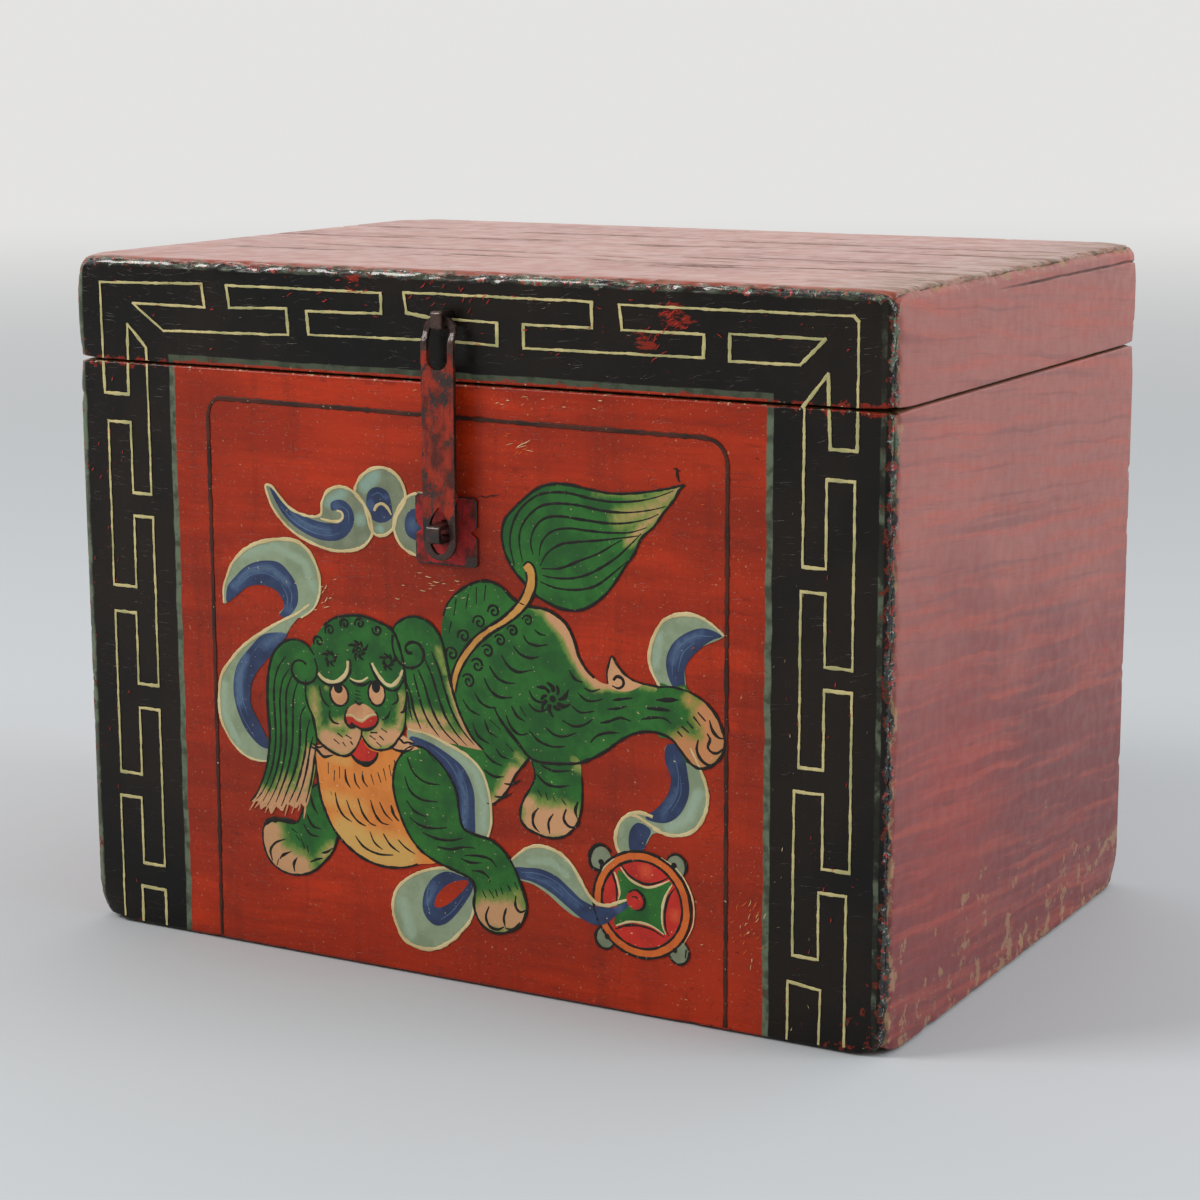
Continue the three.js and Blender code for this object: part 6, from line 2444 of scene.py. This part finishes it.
                *lines(1.1, (418.5, 97.5, 424, 91.5, 431, 88.2, 438, 87.3, 446, 90, 452.5, 94),
                    (414.5, 54.7, 423, 58.5, 432, 59.5, 441, 58.3, 449.5, 54.5),
                    (411, 93, 414.5, 86, 415.7, 78, 415, 72),
                    (456.5, 87.5, 452, 80.5, 449.8, 71, 450, 62, 452.5, 56)),
                Stroke(path(405, 91, 397.5, 93, 396.5, 101, 400.5, 107, 407, 108, 411.5, 104.5), 1.8, 0.5,
                    0.5),
                Stroke(outside(circle(457.5, 101.7, 7.6, 0.92, 24), BALL, 33.5), 1.3),
                Stroke(outside(circle(407, 48, 7.2, 0.95, 24), BALL, 33.5), 1.3),
                Stroke(outside(circle(459.5, 46.5, 7.8, 0.9, 24), BALL, 33.5), 1.3),
                *lines(1.8, (404, 93, 405, 97.5), (464.5, 49, 464, 43.5)))),
        Lines("ball_cream", 7.0, "cream",
            (
                *lines(1.7, (418.5, 95.5, 424, 89.5, 431, 86.2, 438, 85.2, 446, 88, 453, 92),
                    (415, 57, 424, 60.8, 432, 61.7, 441, 60.5, 449, 56.5),
                    (414, 92, 416.3, 86, 417.8, 79, 416.8, 74.5),
                    (454.7, 89.5, 450, 81, 447.8, 71, 448.2, 62, 450.5, 56.5)),
                Stroke(path(404, 90, 408.5, 96, 414, 100.5), 1.3, 0.5, 0.5),
                Stroke(path(447, 106, 460, 98, 468.8, 83, 469.3, 66, 462, 51), 1.1, 0.3, 0.3))),
        Lines("ball_swirl", 11.0, "line",
            (
                Stroke(path(424, 80, 429, 82.5, 434, 79.5, 435.5, 75, 433.5, 70.5, 429.5, 69.3), 1.3, 0.5,
                    0.6),
                Stroke(path(426.5, 77.5, 429.5, 78, 431, 75.5), 1.0, 0.8, 0.4))),
        Lines("ribbon_end_edge", 9.2, "cream",
            (Stroke(path(396, 73.5, 402, 69.3, 410, 69.5, 418, 73, 427.5, 77), 2.3, 1.0, 0.4),)),
        Lines("stem_lines", 6.8, "line",
            (Stroke(STEM_OUT, 1.35, 0.6, 0.6), Stroke(STEM_IN, 1.35, 0.7, 0.7))),
        Lines("mid_edges", 6.3, "cream",
            (Stroke(
                path(262, 166, 278, 164, 291.7, 159.5, 306.7, 153.5, 317.5, 144.5, 322.5, 132, 324, 122,
                    324, 110, 321, 100),
                2.4, 0.7, 0.6),)),
        Lines("mid_lights", 6.3, "pale_blue",
            (*lines(0.9, (278, 156.5, 292, 148, 301, 134, 303, 116, 303, 103),
                (298, 147, 306, 132, 307, 112)),)),
        Lines("chest_lines", 6.6, "line",
            (Stroke(CHEST[:11], 1.5, 0.7, 0.6),
                *lines(1.2, (199, 136, 199, 128), (204, 131, 203.5, 124), (208, 134, 208, 126),
                    (212.5, 133, 213, 126, 216.5, 120.5), (219.5, 131, 220.5, 125, 224, 121),
                    (226, 133, 226.5, 127, 230, 123), (232.5, 132, 235, 125), (238, 134, 240.5, 127),
                    (242.5, 137, 244.5, 129), (247, 140, 248.5, 133), (251, 144, 252.5, 138),
                    (204, 116, 206, 107.5, 210.5, 101, 217, 97.7),
                    (213, 112, 216.5, 104, 222, 98.5, 228, 96.3),
                    (222, 114.5, 225.5, 105, 231, 99, 236, 97.5),
                    (232, 114.5, 235, 106, 240, 100.5, 246, 99.5), (239, 114, 243, 107, 249, 102.5),
                    (219.5, 88.5, 226, 82, 237, 78.7, 249, 79.5), (231, 93, 234.5, 86, 241, 82),
                    (241.5, 93, 247, 86, 254, 82), (253, 90.5, 258.5, 86, 266, 82.7)),
                *lines(1.7, (248, 113, 250, 107, 254, 103)))),
        Lines("leg_lines", 7.8, "line",
            (outline(RIGHT_LEG, 1.4),
                *lines(1.2, (261, 147, 266, 137, 275, 132, 286, 131.7),
                    (259, 134, 263, 124.5, 272, 120, 284, 120), (260, 118, 266, 111.5, 275, 109),
                    (262, 107, 270, 102.7, 281, 102, 291, 104), (272, 98, 282, 95.5, 293, 95.7, 303, 98.5),
                    (283, 90, 293, 89.7, 303, 92.5, 312, 93), (304, 87, 314, 88.3, 323, 87.3, 328, 82.5),
                    (301, 84.5, 308, 83, 317, 84), (309, 77.5, 316, 78, 321, 75.5, 323, 72),
                    (277, 152, 283, 146)),
                *lines(1.5, (322, 55.5, 319.5, 48.5, 322, 42.5, 328, 41, 333, 43.5),
                    (335, 56.5, 333, 49.5, 334, 43.5), (334, 43, 340, 42.7, 345, 48.5),
                    (342, 65.5, 341.7, 59, 345, 55.3, 350, 57.5), (317, 65.5, 319.5, 61),
                    (322, 67, 326, 61.5), (327, 67.5, 328.5, 63), (331, 69.5, 332.5, 65),
                    (336, 72, 338.5, 68), (341, 74.5, 343.5, 70)))),
        Lines("mane_tips", 7.2, "tan",
            lines(1.6,
                *((a, 112, b, 103, c, 94.5 + 2.4 * (k % 3)) for k, (a, b, c) in enumerate(MANE_TIPS)))),
        Lines("mane_lines", 8.4, "line",
            (Stroke(LEFT_MANE[2:15], 1.5, 0.6, 0.6), Stroke(RIGHT_MANE[:13], 1.5, 0.7, 0.6),
                Stroke(
                    path(190, 205, 192, 198, 190, 191, 184, 187.5, 177, 188, 172.5, 192, 171.7, 197.5, 175,
                        201.7, 180, 202.2, 183.5, 200),
                    1.5, 0.7, 0.8),
                Stroke(
                    path(251.5, 227, 251.3, 219, 254, 211.5, 260, 207, 267, 207, 273, 210.5, 275, 216.5,
                        272, 222.3, 266, 223.7, 261.5, 220.5, 262.5, 216.7, 266.5, 216.5),
                    1.5, 0.7, 1.0),
                *lines(1.25,
                    (167, 204, 160.5, 195, 157, 182, 157, 165, 157.3, 150, 156, 137, 152, 122, 146, 110,
                        140, 103),
                    (170, 196, 164, 187, 161.5, 174, 161.7, 158, 161, 142, 158, 128, 153, 115, 145.5,
                        102.5),
                    (171.5, 191, 167, 180, 166.2, 165, 166, 150, 164.3, 137, 161, 124, 156, 112, 149, 100),
                    (176, 187, 172.3, 176, 171.5, 160, 170.8, 146, 168, 132, 163, 118, 155.5, 102),
                    (182, 172, 178, 165, 177, 152, 175.7, 140, 172, 127, 166, 113, 160.5, 101),
                    (185, 163, 182.5, 154, 181, 142, 178, 130, 173, 116, 167, 104.5),
                    (187.5, 152, 184.5, 142, 182, 130, 178, 117, 173, 105.5),
                    (190, 148, 188, 136, 185, 121, 180.5, 106),
                    (281, 219, 286.5, 207, 290.5, 195, 295, 183, 302, 171.5, 312, 161.5),
                    (276, 213, 281, 203, 285.5, 190, 290.5, 178, 298, 168, 307, 160),
                    (270.5, 206, 275, 197, 278.5, 186, 284, 175, 291, 166.5, 300, 160),
                    (267, 203, 270, 192, 273, 182, 278, 172.5, 286, 163.5),
                    (262, 196, 265, 187, 267, 178, 272, 167),
                    (258.5, 200, 262, 190, 263.5, 180, 265.5, 172)))),
        Lines("face_lines", 9.0, "line",
            (Stroke(SKULL[4:14], 1.5, 0.6, 0.6),
                Stroke(
                    path(182.5, 190, 182.3, 179, 184.5, 171.5, 188.3, 164.5, 189.7, 157, 190.7, 151, 196,
                        146.5, 204, 142.7, 212, 141.7, 218, 144.4, 223, 150.5, 226, 158, 226, 161.5),
                    1.35, 0.5, 0.8),
                Stroke(
                    path(226, 158, 228.5, 153.7, 232.5, 150.3, 238, 149, 244.5, 150, 250, 152.8, 254.5, 158,
                        258.5, 164, 260.3, 171, 260.3, 178),
                    1.35, 0.7, 0.6),
                Stroke(path(256.5, 176, 259.5, 178, 261.5, 188, 260.5, 197), 1.5, 0.5, 0.6),
                *(Stroke(run, 1.3, 0.8, 1.0) for run in CURLS), *rosette(225, 214.3, 2.8, 8.6, 8, 1.6),
                outline(circle(225, 214.3, 1.6, 1.0, 6), 1.0), *rosette(202.5, 206.5, 2.2, 7.2, 8, 1.6),
                *rosette(247.5, 209, 2.2, 7.4, 8, 1.6),
                *lines(1.7, (207, 156.7, 211, 154.4), (213.5, 156.2, 218, 154.2),
                    (204, 152.2, 208.5, 149.4), (211, 151, 213.3, 148.3), (217, 152.2, 219, 150.2),
                    (233, 160, 238.5, 160.6), (241.5, 163.8, 246, 161.6), (232.5, 158, 237, 155.6),
                    (240, 158.6, 243.5, 156), (237.5, 154.2, 241.5, 151.6)),
                *lines(1.25, (193.5, 187, 195, 180, 198, 175.5, 201.5, 173.5),
                    (201.5, 171.5, 201, 167, 204, 163.7, 208.5, 163), (254, 189, 254.5, 183.5, 250, 180.5),
                    (249.5, 178, 246.5, 172, 242, 169.3), (222, 187, 226, 186.3), (221.5, 184.3, 226, 184),
                    (222, 181.8, 226, 181.5), (221, 180, 224.5, 177.8, 228, 180)),
                *lines(1.5,
                    (192, 192.8, 197, 189.3, 204, 188.3, 209.5, 190, 214, 193.5, 217.5, 197.5, 218.7, 202,
                        218, 207.5),
                    (217.5, 193.3, 222, 191.3, 229, 191.6, 234.5, 195),
                    (233.3, 206.5, 236, 200.5, 240, 195, 244.5, 191.4, 250, 190, 255, 191.7, 258.5, 196.7,
                        260.7, 202.5)),
                outline(circle(209, 182.7, 7.5, 0.95), 1.3), outline(circle(238.4, 186.8, 8.1, 0.8), 1.3),
                *lines(1.3, (186, 144.7, 190.5, 143.3, 193.3, 140.7, 196.5, 139.3, 203, 141.3),
                    (187, 147.2, 191.5, 145, 197, 147.3),
                    (249, 152, 253, 150.7, 259, 150.6, 264, 152.4, 267, 155.2),
                    (252.5, 156.8, 256, 158.2, 258.5, 156.2, 262, 157, 266.5, 156.6),
                    (253.5, 158, 257, 161, 258.5, 164)))),
        Lines("nose_lines", 11.0, "line",
            (
                Stroke(
                    path(216, 175, 213.3, 169.5, 214, 164.5, 218, 161.8, 221.5, 163, 226.5, 161.5, 232.5,
                        162.4, 237.5, 165.7, 239.2, 170.3, 237.5, 174.5),
                    1.5, 0.5, 0.5),
                Stroke(path(217.5, 164, 221.5, 162.3), 2.6, 0.8, 0.8),
                Stroke(path(217.8, 143.3, 222, 139.7, 228, 138.3, 233.5, 140, 237.3, 144, 238.3, 147.5),
                    2.2, 0.5, 0.5))),
        Lines("brows", 11.0, "cream",
            (
                *(Stroke(run, 2.7, 0.7, 0.7) for run in (
                    path(193, 195.3, 196, 192.5, 200, 190.8, 205, 190.7, 210, 192.7, 214, 196.3, 216, 200.5,
                        216.6, 206),
                    path(235.3, 206.7, 238, 202, 241.5, 197.4, 245.5, 194, 250, 193.2, 254, 195.8, 257, 200,
                        258.7, 204.5))),
                Stroke(path(218, 194.7, 222, 193.3, 227, 193.7, 232, 196.7), 1.8, 0.7, 0.6),
                Stroke(
                    path(214, 169.6, 219, 170, 222.5, 168, 227, 167.5, 231, 170.5, 235, 172.3, 238, 172.6),
                    1.4, 0.6, 0.6))))

    def __init__(self, palette: Palette, brush: BrushTree) -> None:
        """Keeps the paints and the brush, and takes up a filler."""
        super().__init__(palette, brush)
        self.filler = PaintFiller()

    def build(self) -> None:
        """Paints every coat, then every set of lines."""
        for coat in self.COATS:
            piece = self.filler.fill(
                f"figure_{coat.name}", coat.patches, coat.level, getattr(self.palette, coat.paint),
            )
            finished(piece, Body.TRUNK)
        for group in self.LINES:
            press = self.DARK_PRESS if group.paint == "line" else 1.0
            strokes = [Stroke(s.points, s.width * press, s.start, s.end) for s in group.strokes]
            self.draw(f"figure_{group.name}", strokes, group.level, group.paint, 0.0004)


@dataclass(frozen=True)
class Graze:
    """A loose group of short scratches, in millimetres from the front's lower left corner."""

    x: float
    z: float
    wide: float
    tall: float
    count: int
    lean: float
    long: float

    def strokes(self, dice: random.Random) -> list[Stroke]:
        """Scatters the scratches.

        Args:
            dice: The seeded source of chance.

        Returns:
            The strokes.
        """
        made = []
        for _ in range(self.count):
            middle = Vector((dice.gauss(self.x, self.wide), dice.gauss(self.z, self.tall)))
            lean = math.radians(dice.gauss(self.lean, 14))
            half = Vector((math.cos(lean), math.sin(lean))) * self.long * dice.uniform(0.12, 0.5)
            bow = Vector((-half.y, half.x)) * dice.uniform(-0.3, 0.3)
            run = tuple(tuple(p) for p in (middle - half, middle + bow, middle + half))
            made.append(Stroke(run, dice.uniform(0.35, 0.75), 0.2, 0.15))
        return made


class Scratches(FrontWork):
    """The hairlines and smears that knocks have left on the front."""

    SEED = 417
    ON_BODY = {
        "cream": (
            Graze(277, 262, 14, 7, 26, 8, 5), Graze(200, 248, 7, 7, 14, 35, 5),
            Graze(345, 356, 6, 2, 5, 22, 9), Graze(345, 384, 34, 2.5, 18, 0, 4),
            Graze(300, 130, 80, 55, 46, 10, 2), Graze(450, 60, 50, 30, 24, 20, 2.5),
            Graze(542, 150, 12, 95, 26, 80, 3), Graze(507, 66, 6, 12, 12, 60, 5),
        ),
        "orange": (
            Graze(343, 357, 8, 3, 7, 20, 7), Graze(507, 64, 6, 14, 16, 55, 6),
            Graze(470, 300, 30, 40, 12, 30, 3),
        ),
        "scarlet": (
            Graze(556, 130, 14, 90, 30, 75, 4), Graze(30, 200, 16, 120, 30, 65, 3.5),
            Graze(24, 330, 8, 30, 14, 70, 5),
        ),
        "line": (
            Graze(430, 350, 60, 20, 16, 0, 3), Graze(250, 120, 90, 80, 30, 0, 2),
            Graze(400, 30, 120, 14, 30, 0, 3),
        ),
    }
    ON_LID = {
        "scarlet": (
            Graze(400, 432, 120, 12, 44, 12, 4), Graze(225, 447, 18, 5, 16, 0, 6),
            Graze(312, 448, 16, 5, 22, 60, 6), Graze(456, 440, 9, 5, 16, 35, 7),
            Graze(437, 425, 8, 4, 12, 35, 6), Graze(60, 430, 30, 14, 20, 20, 3),
        ),
        "cream": (Graze(300, 428, 200, 14, 22, 10, 2.5),),
    }
    CRACK = (path(317, 321.3, 320, 322.3, 323, 321.6, 326, 323, 330, 323.4, 335, 325),
        path(286, 321, 279, 320.4, 270, 321.5))

    def build(self) -> None:
        """Draws every group, those on the body first."""
        dice = random.Random(self.SEED)
        for body, groups in ((Body.TRUNK, self.ON_BODY), (Body.LID, self.ON_LID)):
            for paint, grazes in groups.items():
                strokes = [stroke for graze in grazes for stroke in graze.strokes(dice)]
                strokes = [stroke for stroke in strokes if self._lies_on(stroke, body)]
                if body is Body.TRUNK and paint == "line":
                    strokes += [Stroke(run, 0.7, 0.6, 0.2) for run in self.CRACK]
                name = f"scratches_{paint}_on_{body.value}"
                self.draw(name, strokes, 12.0, paint, 0.0006, body)

    @staticmethod
    def _lies_on(stroke: Stroke, body: Body) -> bool:
        """Tells whether a scratch lies wholly on the flat of a body's front."""
        low, high = (3.0, 390.0) if body is Body.TRUNK else (395.0, 454.0)
        return all(9 < x < 591 and low < z < high for x, z in stroke.points)


class PanelLine(FrontWork):
    """The dark line inside the red panel."""

    RUN = path(108, 3, 108.5, 120, 109, 240, 109, 350, 109.6, 362, 112, 368, 117, 371.2, 130, 371.8, 250,
        371, 370, 370, 462, 369.5, 476, 369.2, 483, 367.6, 488, 363.4, 490.6, 357, 491.2, 349, 491.2, 335,
        491.2, 250, 491.5, 120, 491.7, 3)

    def build(self) -> None:
        """Paints the line."""
        self.draw("panel_line", [Stroke(self.RUN, 2.9, 0.9, 0.9)], 0.4, "faint", 0.0009)


@dataclass
class Studio:
    """The floor, the lights and the camera."""

    place: tuple[float, float, float] = (0.9413, -1.7067, 0.6071)
    forward: tuple[float, float, float] = (-0.47868, 0.85581, -0.19611)
    roll: float = -0.17
    lens: float = 85.38

    SENSOR = 36.0
    FLOOR_RADIUS = 14.0
    AIM = (0.0, 0.0, 0.25)
    PALE = (0.97, 0.965, 0.95)
    SEEN_LIGHT = 0.80
    FLOOR = srgb(194, 198, 202)
    FAR = (0.776, 0.772, 0.760)
    NONE = (0.0, 0.0, 0.0)

    def build(self) -> None:
        """Sets the studio up."""
        self._floor()
        self._light("key", (-2.4, -2.2, 2.9), 1.5, 95.0, (1.0, 0.975, 0.94))
        self._light("side", (3.2, 0.6, 1.9), 1.8, 55.0, (0.93, 0.97, 1.0))
        self._world()
        bpy.context.scene.view_settings.view_transform = "Standard"
        self._camera()

    def _world(self) -> None:
        """Surrounds the studio with soft light, brighter behind the trunk, and plain where it is seen."""
        world = bpy.data.worlds.new("studio")
        world.use_nodes = True
        graph = Graph(world.node_tree)
        _, depth, _ = graph.split(graph.node("ShaderNodeTexCoord").outputs["Generated"])
        sky = world.node_tree.nodes["Background"].inputs
        graph.feed(sky["Color"], self.PALE)
        seen = graph.node("ShaderNodeLightPath").outputs["Is Camera Ray"]
        around = graph.ramp(depth, -0.5, 0.6, 0.36, 1.10)
        shown = graph.times(seen, graph.minus(self.SEEN_LIGHT, around))
        graph.feed(sky["Strength"], graph.plus(around, shown))
        bpy.context.scene.world = world

    def _floor(self) -> None:
        """Lays a plain pale floor."""
        made = bmesh.new()
        bmesh.ops.create_circle(made, cap_ends=True, segments=96, radius=self.FLOOR_RADIUS)
        floor = built("floor", made)
        material = bpy.data.materials.new("floor")
        material.use_nodes = True
        shader = material.node_tree.nodes["Principled BSDF"]
        graph = Graph(material.node_tree)
        place = graph.place()
        away = graph.ramp(
            graph.node("ShaderNodeVectorMath", {0: place}, operation="LENGTH").outputs["Value"], 1.2, 8.0,
        )
        graph.feed(shader.inputs["Base Color"], graph.mix(away, self.FLOOR, self.NONE))
        graph.feed(shader.inputs["Emission Color"], graph.mix(away, self.NONE, self.FAR))
        shader.inputs["Emission Strength"].default_value = 1.0
        shader.inputs["Specular IOR Level"].default_value = 0.0
        shader.inputs["Roughness"].default_value = 1.0
        floor.data.materials.append(material)

    def _light(self, name: str, place: Sequence[float], size: float, power: float, colour: Colour) -> None:
        """Hangs a soft square light that looks at the trunk.

        Args:
            name: Its name.
            place: Where it hangs.
            size: Its width.
            power: Its power, in watts.
            colour: Its colour.
        """
        data = bpy.data.lights.new(name, "AREA")
        data.size = size
        data.energy = power
        data.color = colour
        lamp = bpy.data.objects.new(name, data)
        lamp.visible_camera = False
        bpy.context.scene.collection.objects.link(lamp)
        aim = Vector(self.AIM) - Vector(place)
        lamp.matrix_world = Matrix.Translation(place) @ aim.to_track_quat("-Z", "Y").to_matrix().to_4x4()

    def _camera(self) -> None:
        """Puts the camera where the photograph was taken from."""
        data = bpy.data.cameras.new("camera")
        data.lens = self.lens
        data.sensor_width = self.SENSOR
        camera = bpy.data.objects.new("camera", data)
        bpy.context.scene.collection.objects.link(camera)
        forward = Vector(self.forward).normalized()
        right = forward.cross(Vector((0, 0, 1))).normalized()
        up = right.cross(forward)
        turn = Matrix((right, up, -forward)).transposed().to_4x4()
        roll = Matrix.Rotation(math.radians(self.roll), 4, "Z")
        camera.matrix_world = Matrix.Translation(self.place) @ turn @ roll
        bpy.context.scene.camera = camera


class Trunk:
    """The whole trunk, built from the boards to the last stroke."""

    def __init__(self) -> None:
        """Builds the materials and the brush."""
        self.palette = Palette()
        self.brush = BrushTree()

    def parts(self) -> tuple[object, ...]:
        """Gives every sub-assembly, in the order that they are made in.

        Returns:
            The parts, each with a build method.
        """
        planks = tuple(f"lid_top_plank_{k}" for k in (1, 2, 3))
        crack = tuple(LID_CEILING + 0.0004 * k for k in range(-4, 5))
        body = Shell(
            "body_wall", Body.TRUNK, WornBox(0.0, BODY_TOP),
            {
                side: (f"{side.value}_board_lower", f"{side.value}_board_upper")
                for side in (Side.FRONT, Side.RIGHT, Side.BACK, Side.LEFT)
            },
            BODY_TOP, self.palette,
        )
        lid_box = WornBox(
            LID_BOTTOM, LID_TOP, round_bottom=0.0012, round_top=0.0072, corner_bottom=0.0022,
            corner_top=0.0050, crack_height=LID_CEILING,
        )
        lid_sides = {
            side: (f"lid_{side.value}_rail",)
            for side in (Side.FRONT, Side.RIGHT, Side.BACK, Side.LEFT)
        }
        lid = Shell(
            "lid_wall", Body.LID, lid_box, lid_sides | {Side.TOP: planks}, LID_CEILING, self.palette,
            extra=crack,
        )
        return (
            body, lid, BottomBoards(self.palette), NailHeads(self.palette), HaspMetal(self.palette),
            HingeIron(self.palette), PanelLine(self.palette, self.brush),
            FretBorder(self.palette, self.brush), Figure(self.palette, self.brush),
            Scratches(self.palette, self.brush),
        )


def main() -> None:
    """Builds the studio and the trunk."""
    logging.basicConfig(level=logging.INFO, format="%(message)s")
    random.seed(7)
    Studio().build()
    for part in Trunk().parts():
        part.build()


if __name__ == "__main__":
    main()
